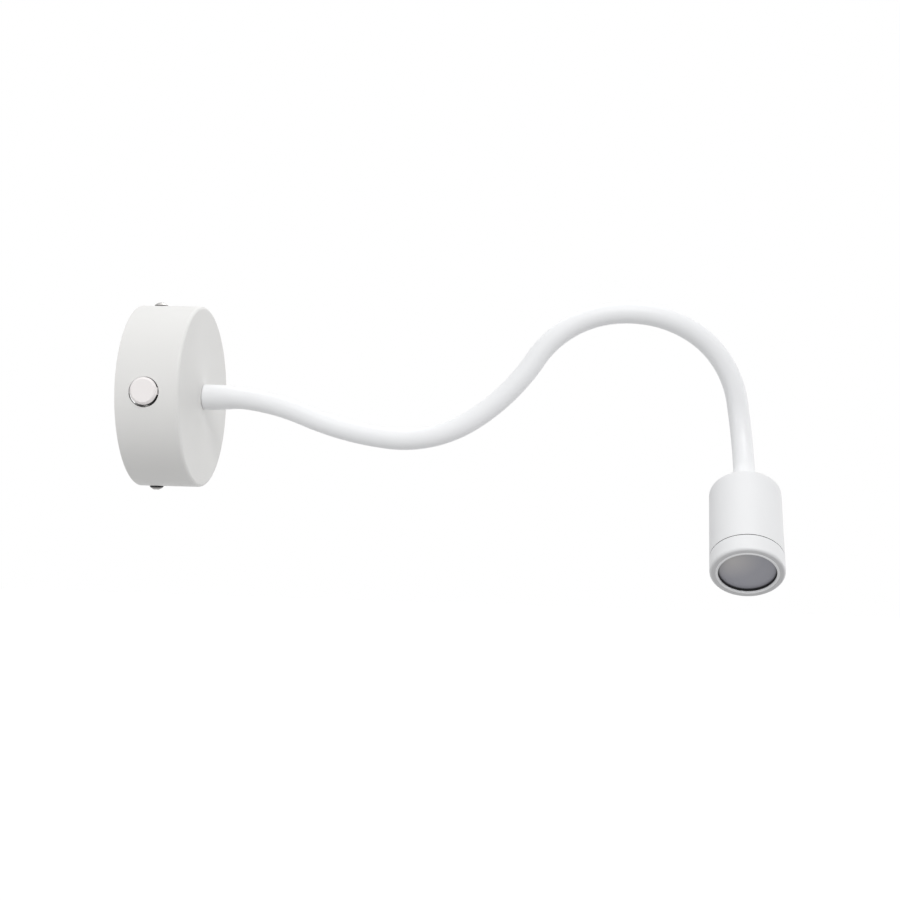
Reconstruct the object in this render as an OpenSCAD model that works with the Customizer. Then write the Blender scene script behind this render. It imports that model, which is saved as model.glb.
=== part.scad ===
// Flexible wall light: a round canopy with a push button, a sleeved gooseneck arm and a small spot head.
// Millimetres. +X points out of the wall and +Z up. The origin is the centre of the wall face.

/* [Canopy] */
// Outside diameter of the canopy
canopy_d = 80; // [76:1:100]
// Depth of the canopy from the wall
canopy_depth = 27; // [26:0.5:40]
// Sheet thickness of the canopy
canopy_wall = 1.2; // [0.8:0.1:2]
// Radius of the canopy's front edge
canopy_fillet = 1.5; // [0.5:0.1:4]

/* [Wall bracket] */
// Width of the strap
bracket_w = 18; // [16:1:24]
// Sheet thickness of the strap and its ears
bracket_t = 1.5; // [1:0.1:2]
// Inside radius of the ear bends
bracket_bend_r = 1.5; // [0.5:0.1:3]
// Width of the ears that take the side screws
ear_w = 12; // [9:0.5:13]
// Reach of the ears from the wall
ear_len = 12.5; // [11:0.5:13]
// Distance between the two wall screw slots
slot_spacing = 52; // [46:1:54]
// Width of a wall screw slot
slot_w = 4.6; // [3.5:0.1:5.5]
// End-to-end length of a wall screw slot
slot_len = 12; // [7:0.5:13]
// Bore for the supply cable
inlet_d = 7; // [5:0.5:8]
// Wall of the cable grommet in the strap
grommet_wall = 1.5; // [1:0.1:2]
// Thickness of the grommet's flange
grommet_flange_t = 1.5; // [1:0.1:2]
// Height of the earth screw above the cable inlet
earth_screw_z = 14.5; // [14:0.5:15]
// Thread diameter of the earth screw
earth_screw_d = 4; // [3:0.5:4]

/* [Side screws] */
// Thread diameter of the canopy's side screws
side_screw_d = 3; // [2.5:0.1:4]
// Head diameter of the side screws
side_screw_head_d = 6; // [5:0.1:7]
// Head height of the side screws
side_screw_head_h = 1.8; // [1.4:0.1:2.5]
// Length of the side screws under the head
side_screw_len = 6.5; // [5:0.5:8]
// Distance of the side screws from the wall
side_screw_x = 6.5; // [6:0.1:9]

/* [Push switch] */
// Diameter of the button cap
button_d = 11.5; // [10:0.1:12.5]
// Gap all round between the cap and the canopy's hole
button_gap = 0.6; // [0.5:0.05:0.8]
// How far the hole's centre sits below the button's axis
button_hole_drop = 0.4; // [0:0.05:0.4]
// How far the cap stands proud of the canopy
button_proud = 1.5; // [1.4:0.1:4]
// How far the button travels
button_travel = 1.2; // [1:0.1:2]
// Chamfer on the cap's front edge
button_chamfer = 0.9; // [0.3:0.1:1.2]
// Width of the cap's locating key
button_key_w = 3; // [2:0.1:4]
// Distance of the button's axis from the wall
button_x = 12.4; // [12:0.1:14]
// Width of the switch body
switch_w = 13; // [12:0.5:14]
// Length of the switch body
switch_len = 14; // [12:0.5:15]
// Thread diameter of the switch's barrel
barrel_d = 10; // [9:0.1:11]
// Diameter of the plunger under the cap
plunger_d = 6; // [5:0.1:6.5]
// Thickness of the switch's mounting plate
switch_plate_t = 1.2; // [0.8:0.1:1.5]

/* [Driver and terminals] */
// Width of the driver case
driver_w = 20; // [16:0.5:21]
// Length of the driver case
driver_len = 40; // [34:0.5:44]
// Thickness of the driver case
driver_t = 15; // [11:0.5:16]
// Thickness of the adhesive foam pads
pad_t = 1; // [0.5:0.1:1.5]
// Pitch of the terminal block's poles
pole_pitch = 8; // [7:0.1:8.5]
// Depth of the terminal block along the wires
block_len = 15; // [13:0.5:16]
// Height of the terminal block
block_h = 11.5; // [10:0.1:12]
// Outside diameter of the wires in the canopy
wire_d = 2; // [1.4:0.1:2.2]

/* [Arm] */
// Outside diameter of the arm's sleeve
tube_d = 9.2; // [8.8:0.1:10]
// Wall of the silicone sleeve
sleeve_wall = 0.6; // [0.4:0.05:0.8]
// Wall of the wound steel hose
hose_wall = 1.2; // [0.8:0.1:1.4]
// Outside diameter of each lead in the arm
lead_d = 1.7; // [1:0.1:1.8]
// Length of one arm section along its centreline
section_len = 38.5; // [36:0.5:42]
// How much shorter the last section is than the others
last_section_cut = 1; // [0:0.1:3]
// Bend of each section in the arm's upright plane, positive downwards
down_bends = [22, -16, -39, -24, 48, 38, 50, 25]; // [-55:1:55]
// Bend of each section sideways, positive towards the button's side
side_bends = [0, 0, 0, 0, 0, -15, -1, 46]; // [-55:1:55]
// How much larger than the sleeve the round seam between two sections is, in radius
seam_extra = 0.6; // [0.4:0.1:1]
// Gap at the seam between two sections
seam_gap = 0.2; // [0.1:0.05:0.3]

/* [Ferrules] */
// Diameter of the ferrule under the sleeve
ferrule_d = 9.8; // [9.6:0.1:10.4]
// Length of the ferrule under the sleeve
ferrule_len = 8; // [7:0.5:10]
// Depth of the hose's socket in the ferrule
socket_depth = 6.5; // [5:0.5:6.5]
// Thread diameter of the ferrule
thread_d = 8; // [7.6:0.1:8.4]
// Length over which the sleeve tapers off the canopy's ferrule
base_taper = 13; // [8:0.5:16]
// Length over which the sleeve tapers off the head's ferrule
head_taper = 9; // [6:0.5:16]
// Width of the clamping nuts across their flats
nut_w = 13; // [12:0.5:14]
// Thickness of the clamping nuts
nut_t = 4; // [3:0.5:4.5]
// Outside diameter of the lock washer
washer_d = 14; // [12.5:0.5:16]
// Thickness of the lock washer
washer_t = 0.8; // [0.5:0.1:1.2]

/* [Head] */
// Outside diameter of the head
head_d = 30; // [29.5:0.5:36]
// Length of the housing, from its back to the seam
housing_len = 36.25; // [33:0.25:42]
// Length of the front ring
bezel_len = 8.25; // [7.5:0.05:10]
// Side wall of the housing
housing_wall = 2; // [1.6:0.1:2.4]
// End wall of the housing
housing_end_t = 3; // [2:0.1:4]
// Radius of the housing's back edge
housing_fillet = 1.8; // [0.5:0.1:2.8]
// Hairline between housing and front ring
bezel_seam = 0.35; // [0.1:0.05:0.4]
// Radius of the front ring's outer edge
bezel_round = 1.2; // [1:0.1:2.5]
// Width of the front ring from its outside to the lens opening
front_lip_w = 3.35; // [3:0.05:5]
// Width of the low bead round the lens opening
bead_w = 1; // [0.6:0.05:1.2]
// Height of the bead over the front ring's face
bead_h = 0.25; // [0.15:0.05:0.4]
// Thickness of the front ring's lip
lip_t = 0.8; // [0.7:0.1:1.2]
// Wall of the front ring's spigot in the housing
spigot_wall = 0.8; // [0.6:0.1:1]
// Length of the front ring's spigot
spigot_len = 6.8; // [5:0.1:8]
// Thickness of the lens
lens_t = 1.8; // [1:0.1:2.5]
// Thickness of the lens gasket
gasket_t = 1.1; // [0.8:0.1:1.8]
// Length of the heat sink's body behind its flange
sink_len = 8.5; // [5:0.5:12]
// Thickness of the heat sink's flange
sink_flange_t = 1.5; // [1:0.1:2]
// Thickness of the lamp's circuit board
board_t = 1.6; // [1:0.1:2]

/* [Hidden] */
$fn = 64;

// Clearances between pieces that fit in one another
slip_gap = 0.1;
thread_gap = 0.05;
inner_gap = 1;
bracket_gap = 0.5;
wire_play = 0.6;
lead_gap = 0.3;

// Canopy
canopy_r = canopy_d / 2;
canopy_in_r = canopy_r - canopy_wall;
front_in = canopy_depth - canopy_wall;

// Wall bracket
bracket_r = canopy_in_r - bracket_gap;
ear_out_z = sqrt(pow(bracket_r, 2) - pow(ear_w / 2, 2));
ear_in_z = ear_out_z - bracket_t;
grommet_hole_d = inlet_d + 2 * grommet_wall;
grommet_flange_w = 1.5;
grommet_flange_d = grommet_hole_d + 2 * grommet_flange_w;
earth_lug_t = 0.8;
earth_lug_d = 2 * earth_screw_d;
earth_head_d = 1.8 * earth_screw_d;
earth_head_h = 2.2;

// Push switch, measured outwards along its axis from the canopy's centre
button_hole_d = button_d + 2 * button_gap;
cap_top = canopy_r + button_proud;
cap_skirt = 1.5;
cap_back = canopy_in_r - cap_skirt;
stop_gap = 0.3;
barrel_top = cap_back - button_travel - stop_gap;
switch_nut_t = 2.5;
barrel_tail = 2.5;
plate_top = barrel_top - switch_nut_t - barrel_tail;
body_top = plate_top - switch_plate_t;
body_back = body_top - switch_len;
plunger_depth = 5;
plunger_back = body_top - plunger_depth;
switch_end_t = 1.5;
bore_back = body_back + switch_end_t;
blade_len = 5.5;
blade_w = 2.8;
blade_t = 0.5;
blade_spread = 3.5;
spring_d = 4.6;
spring_wire_d = 0.6;
spring_turns = 4;

// Driver and terminal block, both on pads on the inside of the canopy's front
driver_front = front_in - pad_t;
driver_y = sqrt(pow(canopy_in_r - inner_gap, 2) - pow(driver_len / 2, 2)) - driver_w / 2;
driver_corner_r = 2;
driver_wire_x = driver_front - driver_t / 2;
driver_wire_gap = 7;
driver_wire_depth = 3;
poles = 3;
block_w = poles * pole_pitch;
block_edge_gap = 3;
block_low_z = -sqrt(pow(canopy_in_r - block_edge_gap, 2) - pow(block_w / 2, 2));
block_top_z = block_low_z + block_len;
block_mid_z = block_low_z + block_len / 2;
block_wire_h = 6;
block_wire_x = driver_front - block_wire_h;
block_hole_d = wire_d + wire_play;
block_shoulder = 3.2;
block_screw_d = 3;
block_screw_len = 2.4;
block_screw_off = 4;

// Arm
sections = len(down_bends);
tube_r = tube_d / 2;
sleeve_in_r = tube_r - sleeve_wall;
hose_r = sleeve_in_r - slip_gap;
hose_in_r = hose_r - hose_wall;
lead_off = (lead_d + lead_gap) / 2;
seam_r = tube_r + seam_extra;
straight_limit = 0.01;

// Ferrules
flare_in_r = ferrule_d / 2 + slip_gap;
flare_r = flare_in_r + sleeve_wall;
flare_lead_in = 2;
thread_tail = 1.5;
base_thread_len = canopy_wall + washer_t + nut_t + thread_tail;
head_thread_len = housing_end_t + nut_t + thread_tail;

// Head, measured along its axis from the back of the housing
head_r = head_d / 2;
head_len = housing_len + bezel_len;
housing_in_r = head_r - housing_wall;
spigot_step = 1;
spigot_r = housing_in_r + spigot_step;
counterbore_r = spigot_r + slip_gap;
spigot_in_r = spigot_r - spigot_wall;
spigot_back = housing_len - spigot_len;
sink_front = spigot_back - 2 * slip_gap;
sink_step = sink_front - sink_flange_t;
sink_back = sink_step - sink_len;
board_front = sink_front + board_t;
board_gap = 2.2;
board_r = spigot_in_r - board_gap;
lip_back = head_len - lip_t;
gasket_back = lip_back - gasket_t;
lens_back = gasket_back - lens_t;
lens_r = spigot_in_r - slip_gap;
opening_r = head_r - front_lip_w;
gasket_in_r = opening_r + 2 * slip_gap;
chip_w = 5;
chip_t = 0.8;
dome_r = 2.2;
board_screw_d = 2;
board_screw_head_d = 3.6;
board_screw_head_h = 1.2;
board_screw_r = board_r - board_screw_head_d / 2 - slip_gap;
board_screw_len = 4;
lead_hole_d = 2 * (lead_off + lead_d / 2 + wire_play);
lead_hole_r = board_r - lead_hole_d / 2 - wire_play;
reflector_wall = 0.9;
reflector_flange_t = 1;

// Wire routes in the canopy, from the first terminal to the second.
// A point between terminals is given in shares of the canopy's inner depth and inner radius.
function inside(x, y, z) = [x * front_in, y * canopy_in_r, z * canopy_in_r];
switch_wire_y = -(body_back - blade_len) + slip_gap;
block_wire_z = block_top_z - wire_d;
driver_wire_z = driver_len / 2 - driver_wire_depth + wire_play;
driver_near_y = driver_y - driver_wire_gap / 2;
driver_far_y = driver_y + driver_wire_gap / 2;
live_route = [
    [block_wire_x, -pole_pitch, block_wire_z],
    [block_wire_x, -pole_pitch, block_top_z + 2 * wire_d],
    inside(0.7, -0.168, -0.18),
    inside(0.667, -0.119, -0.046),
    [button_x + blade_spread, switch_wire_y + 1.5 * wire_d, 0],
    [button_x + blade_spread, switch_wire_y, 0]];
switched_route = [
    [button_x - blade_spread, switch_wire_y, 0],
    [button_x - blade_spread, switch_wire_y + wire_d, 0],
    inside(0.335, -0.155, -0.03),
    inside(0.295, -0.039, -0.168),
    inside(0.248, 0.103, -0.361),
    inside(0.271, 0.232, -0.567),
    inside(0.407, 0.374, -0.722),
    [0.58 * front_in, driver_near_y, -driver_len / 2 - 3.75 * wire_d],
    [driver_wire_x, driver_near_y, -driver_len / 2 - 1.5 * wire_d],
    [driver_wire_x, driver_near_y, -driver_len / 2 - 0.25 * wire_d],
    [driver_wire_x, driver_near_y, -driver_wire_z]];
neutral_route = [
    [block_wire_x, pole_pitch, block_wire_z],
    [block_wire_x, pole_pitch, block_top_z + 1.5 * wire_d],
    inside(0.543, 0.216, -0.335),
    inside(0.326, 0.284, -0.322),
    inside(0.248, 0.438, -0.425),
    inside(0.31, 0.593, -0.593),
    [0.504 * front_in, driver_far_y, -driver_len / 2 - 3.25 * wire_d],
    [driver_wire_x, driver_far_y, -driver_len / 2 - 1.5 * wire_d],
    [driver_wire_x, driver_far_y, -driver_len / 2 - 0.25 * wire_d],
    [driver_wire_x, driver_far_y, -driver_wire_z]];
earth_route = [
    [block_wire_x, 0, block_wire_z],
    [block_wire_x, 0, block_top_z + 1.5 * wire_d],
    inside(0.64, -0.062, -0.232),
    inside(0.523, -0.113, -0.077),
    inside(0.426, -0.129, 0.077),
    inside(0.271, -0.113, 0.168),
    inside(0.163, -0.052, 0.196),
    [bracket_t + wire_d / 2 + slip_gap, 0, earth_screw_z - earth_lug_d / 2 - 0.6 * wire_d]];
// The two leads to the arm, s = -1 and 1, run side by side
lamp_tail_x = canopy_depth - base_thread_len - lead_gap;
function lamp_route(s) = [
    [driver_wire_x, driver_y + s * driver_wire_gap / 2, driver_wire_z],
    [driver_wire_x, driver_y + s * driver_wire_gap / 2, driver_len / 2 + 1.5 * wire_d],
    inside(0.589, 0, 0.678) + [0, driver_y, 0] + lead_d * [0.82 * s, 1.3 * s - 1.53, 0.6 * s],
    inside(0.504, 0.284, 0.606) + lead_d * [0.88 * s, 0, 0],
    inside(0.442, 0.116, 0.322) + lead_d * [0.82 * s, 0, 0],
    inside(0.426, 0.041, 0.168) + lead_d * [0.47 * s, 0.7 * s, 0],
    inside(0.481, 0, 0.062) + lead_d * [0, 0.82 * s, 0],
    inside(0.566, 0, 0.008) + lead_d * [0, 0.7 * s, 0],
    [lamp_tail_x - 0.9 * lead_d, s * lead_off, 0],
    [lamp_tail_x, s * lead_off, 0]];

// Rigid motions as matrices
function shift(v) = [[1, 0, 0, v.x], [0, 1, 0, v.y], [0, 0, 1, v.z], [0, 0, 0, 1]];
function turn_y(a) = [[cos(a), 0, sin(a), 0], [0, 1, 0, 0], [-sin(a), 0, cos(a), 0], [0, 0, 0, 1]];
function turn_z(a) = [[cos(a), -sin(a), 0, 0], [sin(a), cos(a), 0, 0], [0, 0, 1, 0], [0, 0, 0, 1]];
function placed(frame, p) = let (q = frame * [p.x, p.y, p.z, 1]) [q.x, q.y, q.z];

// Arm centreline: each section is one arc, whose plane is rolled by the mix of its two bends
function bend_angle(i) = norm([down_bends[i], side_bends[i]]);
function bend_roll(i) = atan2(-side_bends[i], down_bends[i]);
function arc_len(i) = i == sections - 1 ? section_len - last_section_cut : section_len;
function bend_radius(i) = arc_len(i) * 180 / (PI * bend_angle(i));
function bend_step(i, s) =
    let (a = bend_angle(i) * s / arc_len(i), r = bend_radius(i))
    bend_angle(i) < straight_limit ? shift([0, 0, s])
        : turn_z(bend_roll(i)) * shift([r * (1 - cos(a)), 0, r * sin(a)]) * turn_y(a) * turn_z(-bend_roll(i));
function start_frame(i) =
    i == 0 ? shift([canopy_depth + ferrule_len, 0, 0]) * turn_y(90)
        : start_frame(i - 1) * bend_step(i - 1, arc_len(i - 1));
frames = [for (i = [0:sections]) start_frame(i)];
head_frame = frames[sections] * shift([0, 0, ferrule_len]);
// Frame at distance s along a section, straight on before its start and past its end
function frame_at(i, s) =
    s <= 0 ? frames[i] * shift([0, 0, s])
        : s >= arc_len(i) ? frames[i + 1] * shift([0, 0, s - arc_len(i)])
        : frames[i] * bend_step(i, s);

// Smooth step from 0 to 1
function ease(t) = let (c = min(max(t, 0), 1)) c * c * (3 - 2 * c);
function ring(frame, r, sides) =
    [for (j = [0:sides - 1]) placed(frame, [r * cos(360 * j / sides), r * sin(360 * j / sides), 0])];

// Smooth curve through the points of a route
function curve_point(a, b, c, d, t) =
    0.5 * (2 * b + (c - a) * t + (2 * a - 5 * b + 4 * c - d) * t * t + (3 * b - a - 3 * c + d) * t * t * t);
function curve(p, steps) =
    let (n = len(p) - 1)
    [for (i = [0:n - 1], k = [0:steps - 1])
        curve_point(p[max(i - 1, 0)], p[i], p[i + 1], p[min(i + 2, n)], k / steps),
     p[n]];
function unit(v) = v / norm(v);
function tangents(p) =
    let (n = len(p) - 1)
    [for (i = [0:n]) unit(p[min(i + 1, n)] - p[max(i - 1, 0)])];
// Sideways direction of each ring, carried along the curve without twist
function carried(t, i) =
    i == 0 ? unit(cross(t[0], abs(t[0].z) < 0.9 ? [0, 0, 1] : [1, 0, 0]))
        : let (u = carried(t, i - 1)) unit(u - (u * t[i]) * t[i]);

// Side faces between neighbouring rings, and from the last ring to the first if closed
function side_faces(rings, sides, closed) =
    [for (i = [0:rings - (closed ? 1 : 2)], j = [0:sides - 1])
        let (a = i * sides + j, b = i * sides + (j + 1) % sides,
             c = ((i + 1) % rings) * sides + (j + 1) % sides, d = ((i + 1) % rings) * sides + j)
        each [[a, c, b], [a, d, c]]];

// Round wire along a list of points
module wire_along(p, d, sides = 8) {
    t = tangents(p);
    n = len(p);
    rings = [for (i = [0:n - 1])
        let (u = carried(t, i), v = cross(t[i], u))
        for (j = [0:sides - 1])
            p[i] + d / 2 * (cos(360 * j / sides) * u + sin(360 * j / sides) * v)];
    caps = [[for (j = [0:sides - 1]) j], [for (j = [0:sides - 1]) n * sides - 1 - j]];
    polyhedron(rings, concat(side_faces(n, sides, false), caps));
}

// Tube wall given as rings that run along its outside and back along its inside
module tube_wall(rings, sides) {
    polyhedron([for (r = rings) each r], side_faces(len(rings), sides, true));
}

// Axis helpers: local +Z becomes the canopy's axis, or the switch's axis pointing out of the canopy
module along_canopy() { rotate([0, 90, 0]) children(); }
module along_switch() { translate([button_x, 0, 0]) rotate([90, 0, 0]) children(); }
module on_head() { multmatrix(head_frame) children(); }

// Half profile of a disc with a rounded edge at its far end
module rounded_disc(r, h, edge_r) {
    square([r - edge_r, h]);
    square([r, h - edge_r]);
    translate([r - edge_r, h - edge_r]) circle(edge_r);
}

// Rectangle with four rounded corners, centred
module rounded_rect(w, h, r) {
    square([w - 2 * r, h], center = true);
    square([w, h - 2 * r], center = true);
    for (x = [-1, 1], y = [-1, 1])
        translate([x * (w / 2 - r), y * (h / 2 - r)]) circle(r);
}

module pipe(d, bore, h) {
    difference() {
        cylinder(d = d, h = h);
        translate([0, 0, -1]) cylinder(d = bore, h = h + 2);
    }
}

module hex_nut(w, bore, h) {
    difference() {
        cylinder(d = w / cos(30), h = h, $fn = 6);
        translate([0, 0, -1]) cylinder(d = bore, h = h + 2);
    }
}

// Pan-head screw, head upwards, with its seat at z = 0 and a cross recess
module pan_screw(d, head_d, head_h, len) {
    // the head is a disc cut by a ball that leaves a low rim
    dome_h = 0.75 * head_h;
    dome_r = (pow(head_d / 2, 2) + pow(dome_h, 2)) / (2 * dome_h);
    difference() {
        union() {
            intersection() {
                cylinder(d = head_d, h = head_h);
                translate([0, 0, head_h - dome_r]) sphere(dome_r);
            }
            translate([0, 0, -len]) cylinder(d = d, h = len + head_h / 2);
        }
        for (a = [0, 90])
            rotate(a)
                translate([-0.3 * head_d, -0.08 * head_d, 0.4 * head_h])
                    cube([0.6 * head_d, 0.16 * head_d, head_h]);
    }
}

// Canopy
module canopy() {
    color("white")
        difference() {
            along_canopy() rotate_extrude() rounded_disc(canopy_r, canopy_depth, canopy_fillet);
            along_canopy() translate([0, 0, -1]) cylinder(r = canopy_in_r, h = front_in + 1);
            along_canopy() cylinder(d = thread_d + 4 * thread_gap, h = canopy_depth + 1);
            translate([0, 0, -button_hole_drop]) along_switch() cylinder(d = button_hole_d, h = canopy_r + 1);
            for (s = [0, 180])
                rotate([s, 0, 0])
                    translate([side_screw_x, 0, 0])
                        cylinder(d = side_screw_d + 4 * slip_gap, h = canopy_r + 1);
        }
}

// Strap profile: a U whose arms are the ears
module bracket_profile() {
    bend_out_r = bracket_bend_r + bracket_t;
    difference() {
        union() {
            translate([0, -ear_out_z + bend_out_r]) square([ear_len, 2 * (ear_out_z - bend_out_r)]);
            translate([bend_out_r, -ear_out_z]) square([ear_len - bend_out_r, 2 * ear_out_z]);
            for (s = [-1, 1]) translate([bend_out_r, s * (ear_out_z - bend_out_r)]) circle(bend_out_r);
        }
        translate([bracket_t, -ear_in_z + bracket_bend_r])
            square([ear_len, 2 * (ear_in_z - bracket_bend_r)]);
        translate([bend_out_r, -ear_in_z]) square([ear_len, 2 * ear_in_z]);
        for (s = [-1, 1]) translate([bend_out_r, s * (ear_in_z - bracket_bend_r)]) circle(bracket_bend_r);
    }
}

module wall_slot() {
    along_canopy() {
        for (s = [-1, 1])
            translate([s * (slot_len - slot_w) / 2, 0, -1]) cylinder(d = slot_w, h = bracket_t + 2);
        translate([-(slot_len - slot_w) / 2, -slot_w / 2, -1])
            cube([slot_len - slot_w, slot_w, bracket_t + 2]);
    }
}

module mounting_bracket() {
    color("silver")
        difference() {
            rotate([90, 0, 0]) linear_extrude(bracket_w, center = true) bracket_profile();
            for (y = [-1, 1], z = [-1, 1])
                translate([bracket_t + bracket_bend_r, y * (ear_w + bracket_w) / 2, z * ear_out_z])
                    cube([2 * ear_len, bracket_w, 4 * bracket_t], center = true);
            for (s = [-1, 1]) translate([0, 0, s * slot_spacing / 2]) wall_slot();
            along_canopy() translate([0, 0, -1]) cylinder(d = grommet_hole_d, h = bracket_t + 2);
            translate([0, 0, earth_screw_z])
                along_canopy() translate([0, 0, -1])
                    cylinder(d = earth_screw_d + 2 * thread_gap, h = bracket_t + 2);
            for (s = [0, 180])
                rotate([s, 0, 0])
                    translate([side_screw_x, 0, 0]) cylinder(d = side_screw_d + 2 * thread_gap, h = canopy_r);
        }
}

module canopy_screws() {
    seat_gap = 0.02;
    color("gainsboro")
        for (s = [0, 180])
            rotate([s, 0, 0])
                translate([side_screw_x, 0, canopy_r + seat_gap])
                    rotate(45)
                        pan_screw(side_screw_d, side_screw_head_d, side_screw_head_h, side_screw_len);
}

module cable_grommet() {
    color("dimgray")
        along_canopy()
            difference() {
                union() {
                    cylinder(d = grommet_hole_d - 2 * thread_gap, h = bracket_t + 0.1);
                    translate([0, 0, bracket_t])
                        rotate_extrude() rounded_disc(grommet_flange_d / 2, grommet_flange_t, 0.5);
                }
                translate([0, 0, -1]) cylinder(d = inlet_d, h = bracket_t + grommet_flange_t + 2);
            }
}

module earth_screw() {
    color("gold")
        translate([bracket_t + earth_lug_t, 0, earth_screw_z])
            along_canopy()
                pan_screw(earth_screw_d, earth_head_d, earth_head_h, bracket_t + earth_lug_t - 0.1);
}

// Terminal block
module block_profile() {
    difference() {
        translate([driver_front - block_h, block_low_z]) square([block_h, block_len]);
        for (s = [0, 1])
            translate([driver_front - block_h - 1, block_low_z - 1 + s * (block_len + 2 - block_shoulder)])
                square([block_h / 2 + 1, block_shoulder]);
    }
}

module terminal_block() {
    groove = 0.8;
    color("ivory")
        difference() {
            rotate([90, 0, 0]) linear_extrude(block_w, center = true) block_profile();
            for (p = [-1:1]) {
                translate([block_wire_x, p * pole_pitch, block_low_z - 1])
                    cylinder(d = block_hole_d, h = block_len + 2);
                for (s = [-1, 1])
                    translate([driver_front - block_h, p * pole_pitch, block_mid_z + s * block_screw_off])
                        along_canopy() translate([0, 0, -1])
                            cylinder(d = block_screw_d + 0.3, h = block_wire_x - driver_front + block_h + 1);
            }
            for (p = [-0.5, 0.5])
                translate([driver_front - block_h - 1, p * pole_pitch - groove / 2, block_low_z - 1])
                    cube([block_h / 2 + 1, groove, block_len + 2]);
        }
}

module terminal_screws() {
    slot_cut = 0.6;
    slot_depth = 0.8;
    color("gainsboro")
        for (p = [-1:1], s = [-1, 1])
            translate([block_wire_x - block_hole_d / 2 - block_screw_len, p * pole_pitch,
                       block_mid_z + s * block_screw_off])
                along_canopy()
                    difference() {
                        cylinder(d = block_screw_d, h = block_screw_len);
                        translate([-block_screw_d, -slot_cut / 2, -1])
                            cube([2 * block_screw_d, slot_cut, slot_depth + 1]);
                    }
}

module terminal_pad() {
    inset = 2;
    color("whitesmoke")
        translate([driver_front, -block_w / 2 + inset, block_low_z + inset])
            cube([pad_t, block_w - 2 * inset, block_len - 2 * inset]);
}

// Driver
module driver_case() {
    lid_t = 3;
    seam_w = 0.5;
    seam_depth = 0.4;
    panel_depth = 0.4;
    panel_margin = 3;
    color("whitesmoke")
        difference() {
            translate([driver_front - driver_t / 2, driver_y, -driver_len / 2])
                linear_extrude(driver_len) rounded_rect(driver_t, driver_w, driver_corner_r);
            for (s = [-1, 1], z = [-1, 1])
                translate([driver_wire_x, driver_y + s * driver_wire_gap / 2, z * driver_len / 2])
                    cylinder(d = wire_d + wire_play + 2 * slip_gap, h = 2 * driver_wire_depth, center = true);
            // shallow bare panel on the lid
            translate([driver_front - driver_t - panel_depth, driver_y, 0])
                rotate([0, 90, 0])
                    linear_extrude(2 * panel_depth)
                        rounded_rect(driver_len - 2 * panel_margin, driver_w - 2 * panel_margin, driver_corner_r);
            // seam of the case's lid
            difference() {
                translate([driver_front - driver_t + lid_t, driver_y - driver_w, -driver_len])
                    cube([seam_w, 2 * driver_w, 2 * driver_len]);
                translate([driver_front - driver_t / 2, driver_y, 0])
                    cube([2 * driver_t, driver_w - 2 * seam_depth, driver_len - 2 * seam_depth],
                        center = true);
            }
        }
}

module driver_pad() {
    inset = 2.5;
    color("dimgray")
        translate([driver_front, driver_y - driver_w / 2 + inset, -driver_len / 2 + inset])
            cube([pad_t, driver_w - 2 * inset, driver_len - 2 * inset]);
}

// Push switch
module switch_bracket() {
    foot_len = 9;
    plate_margin = 2;
    plate_w = switch_w + 2 * plate_margin;
    color("silver")
        difference() {
            union() {
                along_switch() translate([-switch_w / 2, -plate_w / 2, body_top])
                    cube([front_in - button_x + switch_w / 2, plate_w, switch_plate_t]);
                translate([front_in - switch_plate_t, -plate_top, -plate_w / 2])
                    cube([switch_plate_t, foot_len + switch_plate_t, plate_w]);
            }
            along_switch() cylinder(d = barrel_d + 2 * slip_gap, h = canopy_r);
        }
}

module switch_body() {
    color("#33353a")
        along_switch()
            difference() {
                union() {
                    translate([0, 0, body_back])
                        linear_extrude(switch_len) rounded_rect(switch_w, switch_w, 1);
                    translate([0, 0, body_top - 0.1]) cylinder(d = barrel_d, h = barrel_top - body_top + 0.1);
                }
                translate([0, 0, bore_back]) cylinder(d = plunger_d + 4 * slip_gap, h = canopy_r);
            }
}

module switch_nut() {
    color("gainsboro")
        along_switch() translate([0, 0, plate_top])
            hex_nut(1.3 * barrel_d, barrel_d + 2 * thread_gap, switch_nut_t);
}

module switch_blades() {
    color("goldenrod")
        along_switch()
            for (s = [-1, 1])
                translate([s * blade_spread - blade_w / 2, -blade_t / 2, body_back - blade_len])
                    cube([blade_w, blade_t, blade_len]);
}

module switch_spring() {
    rings_per_turn = 8;
    height = plunger_back - bore_back - 2 * slip_gap - spring_wire_d;
    rings = spring_turns * rings_per_turn;
    coil_r = (spring_d - spring_wire_d) / 2;
    points = [for (k = [0:rings])
        [coil_r * cos(360 * k / rings_per_turn), coil_r * sin(360 * k / rings_per_turn),
         bore_back + slip_gap + spring_wire_d / 2 + height * k / rings]];
    color("gainsboro") along_switch() wire_along(points, spring_wire_d, 6);
}

module push_button() {
    key_gap = 0.12;
    key_reach = sqrt(pow(button_hole_d / 2, 2) - pow(button_key_w / 2 + button_hole_drop, 2)) - key_gap;
    cap_h = cap_top - cap_back;
    color("snow")
        along_switch() {
            translate([0, 0, cap_back]) cylinder(d = button_d, h = cap_h - button_chamfer);
            translate([0, 0, cap_top - button_chamfer])
                cylinder(d1 = button_d, d2 = button_d - 2 * button_chamfer, h = button_chamfer);
            translate([0, -button_key_w / 2, cap_back])
                cube([key_reach, button_key_w, cap_h - 1.2 * button_chamfer]);
            translate([0, 0, plunger_back]) cylinder(d = plunger_d, h = cap_back - plunger_back + cap_h / 2);
        }
}

// Wires in the canopy
module wire_live() { color("saddlebrown") wire_along(curve(live_route, 4), wire_d); }
module wire_switched() { color("black") wire_along(curve(switched_route, 4), wire_d); }
module wire_neutral() { color("royalblue") wire_along(curve(neutral_route, 4), wire_d); }

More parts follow.
